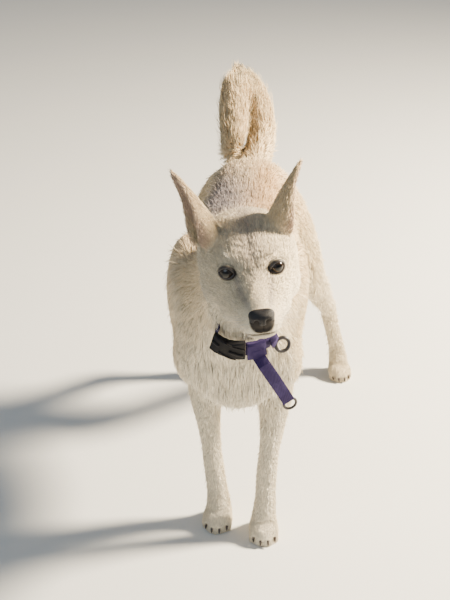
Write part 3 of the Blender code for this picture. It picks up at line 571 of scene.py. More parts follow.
def comb_skin(points, normals, edges, owner):
    """The direction in which the hair lies at each place of the skin."""
    comb = np.zeros_like(points)
    side = np.sign(points[:, :1])
    local = into(HEAD_INVERSE, points)
    back = np.concatenate((0.1 * side, np.ones_like(side), -0.6 * np.abs(normals[:, 0:1])), axis=1)
    chest = ramp(-normals[:, 1], 0.25, 0.75)[:, None]
    for index, name in enumerate(FLESH):
        mine = owner == index
        kind = name.split("_")[0]
        if kind == "head":
            ray = unit(local[mine] - MUZZLE)
            ray = ray + np.array((0, 0.25, 0)) + (0, 0, -0.35) * ramp(-local[mine, 2:3], 0.0, 0.05)
            comb[mine] = ray @ np.array(HEAD_TURN).T
        elif kind == "ear":
            own = points[mine]
            low = own[own[:, 2] < np.quantile(own[:, 2], 0.25)].mean(0)
            comb[mine] = own[own[:, 2].argmax()] - low
        elif kind == "neck":
            comb[mine] = (-0.04, 0.74, -0.67) + chest[mine] * (0, -0.45, -0.35)
        elif kind == "trunk":
            comb[mine] = back[mine] * (1 - chest[mine]) + np.array((0.0, 0.10, -1.0)) * chest[mine]
        elif kind == "tail":
            root = mine & (lengths(points - TAIL_ROOT) < TAIL_ROOT_REACH)
            comb[mine] = slope_of(along_graph(points, edges, root, mine), points, edges)[mine]
        else:
            comb[mine] = LIMB_LIE[kind]
    comb = unit(comb)
    for _ in range(25):
        comb = unit(comb + 0.8 * neighbour_mean(comb, edges))
        comb = comb - normals * (comb * normals).sum(1)[:, None]
    return unit(comb)


def coat_figures(points, normals, edges, owner):
    """Length, lift, width, spacing and depth of the coat at each place of the skin, in metres and radians."""
    table = np.array(list(COAT.values()), float)
    table[:, (LENGTH, WIDTH, SPACING, DEPTH)] *= 0.001
    table[:, LIFT] = np.radians(table[:, LIFT])
    region = REGION_OF[owner]
    figures = soften(table[region], edges, 14)
    _, back, up = into(HEAD_INVERSE, points).T
    _, y, z = points.T
    on_head = (region == HEAD_REGION).astype(float)
    short = ramp(back, -0.075, 0.005) * 0.62 + 0.38
    ruff = ramp(back, 0.030, 0.075) * ramp(-up, -0.025, 0.02)
    figures[:, LENGTH] *= 1 - on_head * (1 - short) + on_head * 0.9 * ruff
    figures[:, WIDTH] *= 1 - on_head * (1 - short) * 0.5
    figures[:, DEPTH] *= 1 - on_head * (1 - short) * 0.8
    for eye in EYE.values():
        close = 1 - ramp(lengths(eye.local(points) - (0, 0, BALL * 0.8)), 0.008, 0.018)
        figures[:, LENGTH] *= 1 - 0.65 * close
        figures[:, DEPTH] *= 1 - 0.85 * close
    hanging = (region == TAIL_REGION) * (1 - ramp(z, 0.550, 0.600))
    figures[:, DEPTH] *= 1 - 0.45 * soften(hanging[:, None], edges, 8)[:, 0]
    belly = ramp(-z, -0.36, -0.30) * ramp(z, 0.10, 0.2)
    rump = ramp(y, 0.30, 0.42) * (region != TAIL_REGION) * ramp(z, 0.2, 0.3)
    figures[:, LENGTH] *= 1 + 0.35 * rump + 0.15 * belly
    chest = ramp(-normals[:, 1], 0.3, 0.8) * ramp(z, 0.22, 0.28) * (y < 0)
    figures[:, LENGTH] *= 1 + 0.25 * chest * (on_head == 0)
    return figures


# --- the coat's colours
BLUR = {"fawn": 22, "pale": 22, "grey_and_shade": 3, "pink": 12, "dark": 0}
EAR_FORWARD = {"left": 0.20, "right": 0.65}


def wave(points, length, phase):
    """A smooth uneven pattern from -1 to 1, about length metres from crest to crest."""
    k = 2 * math.pi / length
    x, y, z = (points * k).T
    return (np.sin(x + 1.7 * np.sin(y * 0.7 + phase)) + np.sin(y * 1.1 + 1.3 * np.sin(z * 0.8 + 2 * phase))
            + np.sin(z * 0.9 + 1.5 * np.sin(x * 0.6 + 3 * phase))) / 3


def markings(points, normals, region):
    """How far each place is fawn, pale, grey, dark or bare pink: one rule for the skin and the coat. The grey
    also carries painted shade over the crown, along the head's middle furrow and under the muzzle.
    """
    local = into(HEAD_INVERSE, points)
    middle, back, high = local.T
    across = np.abs(middle)
    x, y, z = points.T
    on = {name: region == i for i, name in enumerate(REGIONS)}
    upward = ramp(normals[:, 2], -0.1, 0.85)
    patch = 0.5 + 0.5 * wave(points, 0.16, 1.0)
    torso = ~(on["head"] | on["ear"] | on["tail"] | on["paw"]) * ramp(z, 0.30, 0.40)
    fawn = 0.08 + 0.10 * patch
    fawn = fawn + torso * upward * (0.12 + 0.30 * patch)
    saddle = blot(x, y, (-0.012, 0.08), (0.024, 0.13)) * upward
    fawn = fawn + 1.45 * saddle * torso
    fawn = np.where(on["tail"], 0.22 + 0.16 * patch - 0.16 * ramp(z, 0.56, 0.62), fawn)
    fawn = np.where(on["ear"], 0.16 + 0.24 * ramp(high, 0.035, 0.095), fawn)
    fawn = np.where(on["head"], 0.12 + 0.16 * ramp(high, 0.0, 0.04) * bump(middle, 0, 0.03), fawn)
    low = ramp(-normals[:, 2], -0.1, 0.8) * (on["trunk"] | on["neck"])
    throat = ramp(-normals[:, 1], 0.2, 0.8) * (y < 0.05)
    legs = 1 - ramp(z, 0.26, 0.40)
    pale = np.clip(0.7 * low + 0.7 * throat * ~on["ear"] + 0.45 * legs * ~on["trunk"], 0, 0.9)
    pale = np.where(on["head"], 0.35 + 0.3 * ramp(-high, 0.01, 0.05), pale)
    flank = blot(x, y, (-0.068, 0.07), (0.038, 0.15)) * upward
    streak = 0.5 + 0.5 * wave(points, 0.045, 2.0)
    grey_and_shade = 1.6 * flank * (0.45 + 0.55 * streak) * torso
    tear = bump(across, 0.0205 + (back + 0.006) * 0.16, 0.0030)
    tear = tear * ramp(-back, 0.002, 0.012) * (1 - ramp(-back, 0.050, 0.072))
    # Fine dark streaks over the crown: painted shade between the strands of hair.
    rays = (0.5 + 0.5 * np.sin(middle * 780 + 1.5 * np.sin(back * 70))) ** 2
    crown = ramp(back, -0.030, 0.010) * (1 - ramp(across, 0.018, 0.034)) * ramp(high, 0.0, 0.015)
    # The crown's streaks added here are painted shade; the tear lines are the coat's own grey.
    grey_and_shade = grey_and_shade + on["head"] * (0.55 * tear * (high > -0.026) + 0.34 * crown * rays)
    # A dark stripe down the middle of the forehead and the bridge of the muzzle: painted shade in the furrow.
    grey_and_shade = grey_and_shade + on["head"] * 0.34 * bump(middle, 0, 0.010) * ramp(back, -0.045, 0.0) * (high > -0.03)
    # Grey low on the front of the muzzle and on the chin: painted shade under the muzzle.
    grey_and_shade = grey_and_shade + on["head"] * 0.30 * ramp(-high, 0.036, 0.048) * ramp(-back, 0.030, 0.060)
    dark = np.zeros(len(points))
    for eye in EYE.values():
        spot = eye.local(points)
        close = lengths(spot) < 0.020
        ring = (1 - ramp(beyond_slit(spot), 0.0012, 0.0040)) * close
        corner = blot(spot[:, 0], spot[:, 1], (-0.0100, -0.0010), (0.0042, 0.0030)) * close
        dark = np.maximum(dark, np.maximum(ring, 0.8 * corner))
    lips = bump(from_lip(local), 0, 0.0016) * (back < -0.014) * on["head"]
    around_nose = 1 - ramp(lengths((local - NOSE_PAD) / (1.25, 1.1, 1.0)), 0.0115, 0.0145)
    dark = np.maximum(dark, np.maximum(0.9 * lips, around_nose * on["head"]))
    pink = on["ear"] * inner_ear(points, normals)
    return {"fawn": fawn, "pale": pale, "grey_and_shade": grey_and_shade, "dark": dark, "pink": pink}


def inner_ear(points, normals):
    """1 on the hollow side of an ear and 0 on its back."""
    openings = {side: HEAD_TURN @ Vector((SIDES[side], -EAR_FORWARD[side], -0.7)) for side in SIDES}
    left = points[:, :1] > HEAD.translation.x
    opening = np.where(left, np.array(openings["left"]), np.array(openings["right"]))
    return ramp((normals * unit(opening)).sum(1), -0.15, 0.35)


# --- planting the coat
# A hair's blade: its triangles, its corners' places on the map, how far along it they are, and its heights.
BLADE = np.array(((0, 2, 1), (0, 3, 2), (0, 1, 3), (4, 1, 2), (4, 2, 3), (4, 3, 1)))
PATCH = np.array(((0.5, 0.0), (0.0, 0.45), (1.0, 0.45), (0.5, 0.7), (0.5, 1.0))) * 0.003
ALONG = (0.0, 0.5, 0.5, 0.62, 1.0)
BLADE_RISE, MIDDLE_RISE, TIP_RISE = 0.42, 0.62, 0.92
CLUMP, SHORT_CLUMP, SHORT_HAIR = 0.008, 0.45, 0.012
ROOTED = 0.0004                       # how deep a hair's root is in the skin
STRAY_SHARE = 0.05                    # of the hairs, which stand up more and are longer
QUICK_SPACING, QUICK_WIDTH = ((1, 1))


def mesh_of(name, points, faces):
    """A mesh from arrays, with one row of corner numbers for each face."""
    mesh = bpy.data.meshes.new(name)
    count, sides = faces.shape
    mesh.vertices.add(len(points))
    mesh.vertices.foreach_set("co", points.astype(np.float32).ravel())
    mesh.loops.add(count * sides)
    mesh.loops.foreach_set("vertex_index", faces.astype(np.int32).ravel())
    mesh.polygons.add(count)
    mesh.polygons.foreach_set("loop_start", np.arange(count, dtype=np.int32) * sides)
    smooth(mesh)
    mesh.update(calc_edges=True)
    return mesh


def attribute(mesh, name, values):
    layer = mesh.attributes.new(name, "FLOAT", "POINT")
    layer.data.foreach_set("value", values.astype(np.float32))


def map_corners(mesh, name, uv):
    mesh.uv_layers.new(name=name).data.foreach_set("uv", uv.astype(np.float32).ravel())


def cell_keys(places, size):
    """One number for each place, the same for all that share a cell."""
    cells = np.floor(places / size).astype(np.int64)
    return (cells[:, 0] * 4096 + cells[:, 1]) * 4096 + cells[:, 2]


class Skin:
    """The finished skin as arrays, with the coat's figures, colours and lie."""

    def __init__(self, mesh):
        self.points, self.normals, edges = points_of(mesh), normals_of(mesh), edges_of(mesh)
        self.owner = owners_of(self.points)
        self.figures = coat_figures(self.points, self.normals, edges, self.owner)
        marks = markings(self.points, self.normals, REGION_OF[self.owner])
        self.marks = {mark: soften(values[:, None].astype(float), edges, BLUR[mark])[:, 0]
                      for mark, values in marks.items()}
        self.comb = comb_skin(self.points, self.normals, edges, self.owner)
        self.faces = rows_of(mesh.polygons, "vertices", 3, int)
        a, b, c = (self.points[self.faces[:, i]] for i in range(3))
        self.areas = lengths(np.cross(b - a, c - a)) / 2
        self.tree = BVHTree.FromPolygons(self.points.tolist(), self.faces.tolist())

    def faces_of(self, nodes, low=-FAR, high=FAR):
        """The faces on those nodes whose middles are from low to high along Y."""
        kept = np.isin(self.owner[self.faces[:, 0]], nodes)
        middle = self.points[self.faces].mean(1)[:, 1]
        return np.flatnonzero(kept & (middle >= low) & (middle < high))

    def spread(self, faces, spacing):
        """Places on those faces, about one for each square of the spacing's side, well apart."""
        tries = self.areas[faces] / spacing**2 * 3.2
        counts = np.floor(tries + rng.random(len(faces))).astype(int)
        chosen = np.repeat(faces, counts)
        one, two = rng.random(len(chosen)), rng.random(len(chosen))
        over = one + two > 1
        one[over], two[over] = 1 - one[over], 1 - two[over]
        weights = np.stack((1 - one - two, one, two), axis=1)
        places = (self.points[self.faces[chosen]] * weights[:, :, None]).sum(1)
        order = rng.permutation(len(places))
        _, first = np.unique(cell_keys(places, spacing * 0.92)[order], return_index=True)
        kept = order[first]
        wanted = int(self.areas[faces].sum() / spacing**2)
        if len(kept) > wanted:
            kept = rng.choice(kept, wanted, replace=False)
        kept = kept[hairy(places[kept])]
        return places[kept], self.faces[chosen[kept]], weights[kept]

    def nearest(self, places, reach):
        """The skin's nearest place and normal for each point; a point beyond reach stays where it is."""
        found, normals = places.copy(), np.zeros_like(places)
        for i, place in enumerate(places):
            hit, normal, _, _ = self.tree.find_nearest(place)
            if (hit - Vector(place)).length < reach[i]:
                found[i] = hit
            normals[i] = normal
        return found, normals


def at(values, corners, weights):
    """Values of the skin's corners, between the corners."""
    weights = weights if values.ndim == 1 else weights[:, :, None]
    return (values[corners] * weights).sum(1)


def uneven(skin, roots, corners, weights):
    """For each hair its skin's normal, its direction, length, lift and width, not quite its neighbours'."""
    count = len(roots)
    normal = unit(at(skin.normals, corners, weights))
    lie = unit(at(skin.comb, corners, weights))
    length, lift, width = (at(skin.figures[:, i], corners, weights) for i in (LENGTH, LIFT, WIDTH))
    swirl = 0.16 * wave(roots, 0.09, 0.3) + 0.12 * wave(roots, 0.035, 1.9) + rng.normal(0, 0.15, count)
    swirl = swirl * (0.35 + 0.65 * ramp(length, 0.008, 0.018))
    lie = lie * np.cos(swirl)[:, None] + np.cross(normal, lie) * np.sin(swirl)[:, None]
    length = length * rng.uniform(0.72, 1.18, count) * (1 + 0.12 * wave(roots, 0.05, 4.0))
    stray = rng.random(count) < STRAY_SHARE
    lift = lift * rng.uniform(0.55, 1.35, count) * np.where(stray, 2.0, 1.0)
    length = length * np.where(stray, 1.15, 1.0)
    width = width * rng.uniform(0.75, 1.2, count) * QUICK_WIDTH
    return normal, lie, length, lift, width


def clumped(roots, lie, length):
    """The hairs' middles and tips, drawn together in clumps, and the number of each hair's clump."""
    middle = roots + lie * (0.48 * length)[:, None]
    tip = roots + lie * length[:, None]
    cell = CLUMP * (SHORT_CLUMP if np.median(length) < SHORT_HAIR else 1.0)
    strands = roots + lie * rng.uniform(0, 0.4, len(roots))[:, None] * length[:, None]
    _, clump = np.unique(cell_keys(strands, cell), return_inverse=True)
    heart = np.stack([np.bincount(clump, tip[:, i]) / np.bincount(clump) for i in range(3)], axis=1)[clump]
    pull = (0.10 + 0.30 * ramp(length, 0.008, 0.020))[:, None]
    return middle + 0.35 * pull * (heart - tip), tip + pull * (heart - tip), clump


def raised(skin, roots, places, length, height):
    """Places lifted off the skin, kept under the collar or led over it, and the way up from the skin."""
    places, ups = skin.nearest(places, 0.4 * length)
    height = np.maximum(np.minimum(height, under_collar(places)), over_collar(roots, places))
    return places + ups * height[:, None], ups


def blades(roots, normal, middle, up, tip, width):
    """The five corners of each hair: its root, three round its middle and its tip."""
    lie = unit(tip - roots)
    side = unit(np.cross(up, lie))
    half = side * (width / 2)[:, None]
    rise = np.cross(lie, side) * (width * BLADE_RISE)[:, None]
    corners = np.stack((roots - normal * ROOTED, middle - half, middle + half, middle + rise, tip), axis=1)
    corners[:, :, 2] = np.maximum(corners[:, :, 2], FLOOR_CLEAR)
    return corners.reshape(-1, 3)


def plant(name, skin, faces, nodes):
    """One piece of coat: a slender closed blade at every root, lying along the comb's direction."""
    spacing = np.median(skin.figures[skin.faces[faces].ravel(), SPACING]) * QUICK_SPACING
    roots, corners, weights = skin.spread(faces, spacing)
    count = len(roots)
    normal, lie, length, lift, width = uneven(skin, roots, corners, weights)
    middle, tip, clump = clumped(roots, lie, length)
    middle, up = raised(skin, roots, middle, length, MIDDLE_RISE * length * np.sin(lift))
    tip, _ = raised(skin, roots, tip, length, TIP_RISE * length * np.sin(lift))
    rows = (np.arange(count)[:, None, None] * len(PATCH) + BLADE).reshape(-1, 3)
    mesh = mesh_of(name, blades(roots, normal, middle, up, tip, width), rows)
    tone = 0.5 * rng.random(count) + 0.5 * rng.random(clump.max() + 1)[clump]
    attribute(mesh, "along", np.tile(ALONG, count))
    attribute(mesh, "tone", np.repeat(tone, len(PATCH)))
    for mark, values in skin.marks.items():
        attribute(mesh, mark, np.repeat(at(values, corners, weights), len(PATCH)))
    spots = unwrap(roots, skin.owner[corners[np.arange(count), weights.argmax(1)]], nodes)
    patches = np.tile(PATCH[BLADE.ravel()], (count, 1))
    map_corners(mesh, "OFBake", np.repeat(spots, BLADE.size, axis=0) + patches)
    return add_object(mesh)


def unwrap(roots, owner, nodes):
    """Round each node's own long axis: the angle across its chart and the distance along up it."""
    spots = np.zeros((len(roots), 2))
    for place, node in enumerate(nodes):
        mine = owner == node
        if not mine.any():
            continue
        own = roots[mine] - roots[mine].mean(0)
        axes = np.linalg.svd(own[:: max(1, len(own) // 4000)], full_matrices=False)[2]
        flat = own @ axes.T
        angle = (np.arctan2(flat[:, 2], flat[:, 1]) / (2 * math.pi) + 0.5) % 1
        along = (flat[:, 0] - flat[:, 0].min()) / max(np.ptp(flat[:, 0]), 1e-6)
        spots[mine] = np.column_stack(((place + 0.01 + 0.97 * angle) / len(nodes), 0.004 + 0.985 * along))
    return spots


def hairy(places):
    """False where no coat grows: between the lids, on the nose pad, along the lips and at the claws."""
    grows = np.ones(len(places), bool)
    for eye in EYE.values():
        spot = eye.local(places)
        grows &= ~((beyond_slit(spot) < 0.0022) & (lengths(spot) < 0.018))
    local = into(HEAD_INVERSE, places)
    grows &= lengths((local - NOSE_PAD) / (1.3, 1.1, 1.0)) > 0.0135
    grows &= ~((from_lip(local) < 0.0009) & (local[:, 1] < -0.014))
    for root, ahead in CLAWS:
        grows &= lengths(places - np.array(root + ahead * 0.004)) > 0.0042
    return grows


# --- where the coat and the collar meet
PRESSED = 0.0004                      # how close to the skin the strap is pressed beside the throat
STRAP_REACH = 0.0036                  # from a place on the strap's outer face to the inner one under it
COVERED = 0.0056                      # hair that lies over the collar clears it by this height
UNDER_STRAP = 0.0065                  # hair under the collar at the throat stays below this height
NECK_REACH = 0.13


def ring_axis(node):
    """The middle of a ring-shaped node and the axis it goes round."""
    places = points_of(NODES[node].data)
    middle = places.mean(0)
    axis = np.linalg.svd(places - middle, full_matrices=False)[2][2]
    return np.array(Vector(middle)), np.array(Vector(axis))


def square_to(axis):
    """Two directions across an axis."""
    one = Vector(axis).orthogonal().normalized()
    return np.array(one), np.array(Vector(axis).cross(one))


BAND_CENTRE, BAND_AXIS = ring_axis("collar_band")
BAND_AXIS = BAND_AXIS if BAND_AXIS[2] > 0 else -BAND_AXIS
THROAT = Vector(BAND_AXIS).cross(Vector((1, 0, 0))).normalized()
THROAT = np.array(THROAT if THROAT.z < 0 else -THROAT)


def beside_throat(places):
    """0 at the throat, where the collar shows, and 1 at the neck's sides and nape, where hair hides it."""
    out = places - BAND_CENTRE
    out = unit(out - np.outer(out @ BAND_AXIS, BAND_AXIS))
    return 1 - ramp(out @ THROAT, 0.70, 0.88)


def along_neck(places):
    """How far up the neck from the collar each place is, and whether it is near the collar."""
    out = places - BAND_CENTRE
    return out @ BAND_AXIS, lengths(out) < NECK_REACH


def over_collar(roots, places):
    """How high a hair rooted ahead of the collar has to pass over it."""
    ahead, _ = along_neck(roots)
    here, close = along_neck(places)
    passing = (ahead > -0.004) & (here < 0.024) & (here > -0.030) & close
    cover = COVERED * passing * beside_throat(places)
    return cover * ramp(-here, -0.024, -0.012) * ramp(here, -0.024, -0.010)


def under_collar(places):
    """How high a hair may stand where the collar crosses the throat."""
    here, close = along_neck(places)
    crossed = close * bump(here, -0.004, 0.016) * (1 - beside_throat(places))
    return 0.03 * (1 - ramp(crossed, 0.15, 0.45)) + UNDER_STRAP


# --- materials


class Value:
    """A number or colour between a material's nodes; sums and products of it add maths nodes."""

    def __init__(self, paint, socket):
        self.paint, self.socket = paint, socket

    def maths(self, operation, other=0.0, clamp=False):
        settings = {"operation": operation, "use_clamp": clamp}
        return self.paint.node("ShaderNodeMath", settings, {0: self, 1: other})

    def __add__(self, other):
        return self.maths("ADD", other)

    def __mul__(self, other):
        return self.maths("MULTIPLY", other)

    __radd__, __rmul__ = __add__, __mul__

    def clamp(self):
        return self.maths("ADD", clamp=True)

    def between(self, low, high):
        """0 up to low, 1 from high, smooth between."""
        return self.paint.node("ShaderNodeMapRange", {"interpolation_type": "SMOOTHSTEP"},
                               {"Value": self, "From Min": low, "From Max": high})


class Paint:
    """One material, its node graph and its shader."""

    def __init__(self, name, **constants):
        self.material = bpy.data.materials.new(name)
        self.material.use_nodes = True
        self.tree = self.material.node_tree
        self.shader = next(node for node in self.tree.nodes if node.type == "BSDF_PRINCIPLED")
        for key, value in constants.items():
            self.shader.inputs[key.replace("_", " ")].default_value = value

    def node(self, kind, settings=None, inputs=None, output=0):
        made = self.tree.nodes.new(kind)
        for key, value in (settings or {}).items():
            setattr(made, key, value)
        for key, value in (inputs or {}).items():
            if isinstance(value, Value):
                self.tree.links.new(value.socket, made.inputs[key])
            else:
                made.inputs[key].default_value = value
        return Value(self, made.outputs[output])

    def attribute(self, name):
        return self.node("ShaderNodeAttribute", {"attribute_name": name}, output="Fac")

    def place(self):
        return self.node("ShaderNodeTexCoord", output="Object")

    def noise(self, scale, detail):
        inputs = {"Vector": self.place(), "Scale": scale, "Detail": detail}
        return self.node("ShaderNodeTexNoise", inputs=inputs)

    def mix(self, one, two, share):
        one, two = (colour if isinstance(colour, Value) else (*colour, 1) for colour in (one, two))
        return self.node("ShaderNodeMix", {"data_type": "RGBA"}, {0: share, 6: one, 7: two}, output=2)

    def scaled(self, colour, share):
        return self.node("ShaderNodeVectorMath", {"operation": "SCALE"}, {0: colour, "Scale": share})

    def feed(self, name, value):
        self.tree.links.new(value.socket, self.shader.inputs[name])

    def bumped(self, height, distance, strength=1.0):
        inputs = {"Height": height, "Distance": distance, "Strength": strength}
        self.feed("Normal", self.node("ShaderNodeBump", inputs=inputs))


CREAM = (0.87, 0.72, 0.47)
# The grey colour also serves as painted shade over the crown, along the head's middle furrow and under the
# muzzle.
MARK_COLOURS = {"fawn": (0.64, 0.41, 0.19), "pale": (0.90, 0.84, 0.70), "grey_and_shade": (0.25, 0.205, 0.208),
                "pink": (0.56, 0.40, 0.29), "dark": (0.018, 0.014, 0.012)}
# The eye's circles, as angles from the gaze, each with the width over which it fades.
PUPIL, IRIS_RIM, WHITE = (0.34, 0.42), (0.66, 0.82), (0.95, 1.05)


def marked(paint):
    """The dog's colours from its markings and the painted shade that the grey carries on the head, shared by
    the skin and the coat.
    """
    colour = CREAM
    for mark, tint in MARK_COLOURS.items():
        colour = paint.mix(colour, tint, paint.attribute(mark))
    return colour


def coat_paint():
    paint = Paint("short dense dog hair", Roughness=0.62, Specular_IOR_Level=0.28, Sheen_Weight=0.12)
    tone, along = paint.attribute("tone"), paint.attribute("along")
    patchy = paint.noise(34.0, 2.0)
    # Darker towards each hair's root: painted shade deep in the coat. The tone and the patchy noise are the
    # hairs' own uneven colour.
    light = (0.74 + 0.30 * along) * (0.70 + 0.56 * tone) * (0.95 + 0.12 * patchy)
    paint.feed("Base Color", paint.scaled(marked(paint), light))
    return paint.material


def skin_paint():
    paint = Paint("dog skin and underhair", Roughness=0.68, Specular_IOR_Level=0.25)
    fine = paint.noise(900.0, 2.0)
    paint.feed("Base Color", paint.scaled(marked(paint), 0.74 + 0.20 * fine))
    paint.bumped(fine, 0.0004, 0.6)
    return paint.material


def plain_paint(name, colour, grain=600.0, depth=0.0, spread=0.25, **constants):
    """A material of one colour with a fine unevenness in tone and, if deep, in the surface."""
    paint = Paint(name, **constants)
    grains = paint.noise(grain, 3.0)
    dark, light = (tuple(min(1, part * (1 + change)) for part in colour) for change in (-spread, spread))
    paint.feed("Base Color", paint.mix(dark, light, grains))
    if depth:
        paint.bumped(grains, depth)
    return paint.material


def eye_paint():
    """Pupil, iris and the dark rim of the eyeball, by the angle from the gaze."""
    paint = Paint("brown eye", Roughness=0.12, Specular_IOR_Level=0.38, Coat_Weight=0.10, Coat_Roughness=0.05)
    angle, round_it = paint.attribute("angle"), paint.attribute("round")
    spokes = paint.node("ShaderNodeCombineXYZ", inputs={"X": round_it, "Y": angle * 0.3})
    rays = paint.node("ShaderNodeTexWave", {"wave_type": "BANDS", "bands_direction": "X"},
                      {"Vector": spokes, "Scale": 9.0, "Distortion": 3.0, "Detail": 2.0}, output="Fac")
    iris = paint.mix((0.012, 0.008, 0.006), (0.027, 0.017, 0.011), rays)
    iris = paint.mix(iris, (0.012, 0.007, 0.005), angle.between(*IRIS_RIM))
    colour = paint.mix((0.002, 0.002, 0.002), iris, angle.between(*PUPIL))
    paint.feed("Base Color", paint.mix(colour, (0.05, 0.036, 0.030), angle.between(*WHITE)))
    return paint.material


def nose_paint():
    """Pebbled black leather."""
    paint = Paint("black nose leather", Roughness=0.46, Specular_IOR_Level=0.26,
                  Coat_Weight=0.04, Coat_Roughness=0.3)
    cells = paint.node("ShaderNodeTexVoronoi", {"feature": "DISTANCE_TO_EDGE"},
                       {"Vector": paint.place(), "Scale": 900.0}, output="Distance")
    pebbles = (cells * 3.0).clamp()
    paint.feed("Base Color", paint.mix((0.006, 0.006, 0.008), (0.017, 0.016, 0.020), pebbles))
    paint.bumped(pebbles, 0.00022, 0.8)
    return paint.material


def webbing_paint():
    """Woven strap, its ribs across it, from the piece's own map in millimetres."""
    paint = Paint("purple nylon webbing", Roughness=0.7, Specular_IOR_Level=0.2, Sheen_Weight=0.06)
    spot = paint.node("ShaderNodeUVMap", {"uv_map": "weave"})
    along, across = (paint.node("ShaderNodeSeparateXYZ", inputs={0: spot}, output=axis) for axis in "XY")
    ribs, yarns = (along * 5.2).maths("SINE"), (across * 7.0).maths("SINE")
    weave = 0.5 + 0.3 * ribs + 0.2 * (ribs * yarns)
    colour = paint.mix((0.009, 0.004, 0.038), (0.034, 0.017, 0.105), weave)
    faded = paint.mix(colour, (0.12, 0.09, 0.25), paint.noise(60.0, 3.0).between(0.5, 0.8) * 0.3)
    paint.feed("Base Color", faded)
    paint.bumped(weave, 0.00035, 0.8)
    return paint.material


PAINTS = {
    "coat": coat_paint(),
    "skin": skin_paint(),
    "eye": eye_paint(),
    "nose": nose_paint(),
    "rim": plain_paint("dark eyelid rim", (0.020, 0.016, 0.016), 900.0, 0.0002, Roughness=0.35),
    "claw": plain_paint("dark horn", (0.060, 0.045, 0.038), 500.0, 0.0001, Roughness=0.35),
    "whisker": plain_paint("whisker", (0.60, 0.56, 0.50), Roughness=0.4),
    "webbing": webbing_paint(),
    "plastic": plain_paint("black moulded plastic", (0.008, 0.008, 0.010), 1500.0, 0.00006,
                           Roughness=0.55, Specular_IOR_Level=0.14),
    "steel": plain_paint("blackened steel wire", (0.055, 0.052, 0.055), 800.0, Metallic=0.6, Roughness=0.34),
}

# --- pieces


def finished(obj, material, slot, *nodes):
    obj.name = obj.data.name = obj.name.replace(" ", "_")
    obj.data.materials.clear()
    obj.data.materials.append(material)
    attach(obj, "root")
    if nodes:
        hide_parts(*nodes)
    return obj


def outward(mesh):
    """Merges doubles and turns every face outwards."""
    with edited(mesh) as bm:
        bmesh.ops.remove_doubles(bm, verts=bm.verts, dist=MERGE)
        bmesh.ops.recalc_face_normals(bm, faces=bm.faces)
    return mesh


def swept(name, rings, closed=False):
    """A closed surface through rings of points; the ends are capped unless the path closes."""
    rings = np.asarray(rings, float)
    count, sides, _ = rings.shape
    faces = []
    for i in range(count if closed else count - 1):
        for j in range(sides):
            a, b, k = i * sides, ((i + 1) % count) * sides, (j + 1) % sides
            faces.append((a + j, a + k, b + k, b + j))
    if not closed:
        faces.append(tuple(range(sides))[::-1])
        faces.append(tuple(range((count - 1) * sides, count * sides)))
    mesh = bpy.data.meshes.new(name)
    mesh.from_pydata(rings.reshape(-1, 3).tolist(), [], faces)
    mesh.update()
    outward(mesh)
    smooth(mesh)
    return add_object(mesh)


def tube(name, path, radii, around, closed=False):
    """A round tube along a path, with sides that don't twist."""
    path = np.asarray(path, float)
    if closed:
        runs = unit(np.roll(path, -1, axis=0) - np.roll(path, 1, axis=0))
    else:
        runs = unit(np.gradient(path, axis=0))
    angles = np.arange(around) * 2 * math.pi / around
    side = np.cross(runs[0], (0.3, 0.2, 1.0))
    rings = []
    for point, run, radius in zip(path, runs, np.broadcast_to(radii, (len(path),))):
        side = side - run * (side @ run)
        side = side / np.linalg.norm(side)
        spokes = np.cos(angles)[:, None] * side + np.sin(angles)[:, None] * np.cross(run, side)
        rings.append(point + radius * spokes)
    return swept(name, rings, closed)


def joined(name, pieces):
    """Several objects as one mesh."""
    select_only(pieces)
    bpy.ops.object.join()
    pieces[0].name = pieces[0].data.name = name
    return pieces[0]


EYE_ROWS, EYE_AROUND, RIM_POINTS = 40, 64, 40


def make_eye(side):
    """The eyeball with its clear bulge in front, and the lids' dark rim round the opening."""
    eye = EYE[side]
    angles = np.linspace(0.02, math.pi - 0.02, EYE_ROWS)
    turns = np.arange(EYE_AROUND) * 2 * math.pi / EYE_AROUND
    swell = CORNEA * (1 - ramp(angles, 0.45, 0.95))
    rings = []
    for angle, rise in zip(angles, swell):
        ring = np.stack((math.sin(angle) * np.cos(turns), math.sin(angle) * np.sin(turns),
                         np.full(EYE_AROUND, math.cos(angle))), axis=1) * (BALL + rise)
        rings.append(eye.world(ring))
    ball = swept(f"eyeball {side}", rings)
    local = eye.local(points_of(ball.data))
    attribute(ball.data, "angle", np.arccos(np.clip(unit(local)[:, 2], -1, 1)))
    attribute(ball.data, "round", np.arctan2(local[:, 1], local[:, 0]))
    finished(ball, PAINTS["eye"], "eye_brown", f"eye_{side}")
    loop = eye.margin(RIM_POINTS, BALL + RIM_LIFT)
    for _ in range(2):
        loop = 0.5 * loop + 0.25 * (np.roll(loop, 1, axis=0) + np.roll(loop, -1, axis=0))
    out, up, _ = eye.local(loop).T
    radii = 0.00110 + 0.00050 * ramp(-out, 0.3 * SLIT_HALF, SLIT_HALF) + 0.0002 * ramp(up, 0, 0.004)
    finished(tube(f"lid rim {side}", loop, radii, 10, closed=True), PAINTS["rim"], "nose_black")


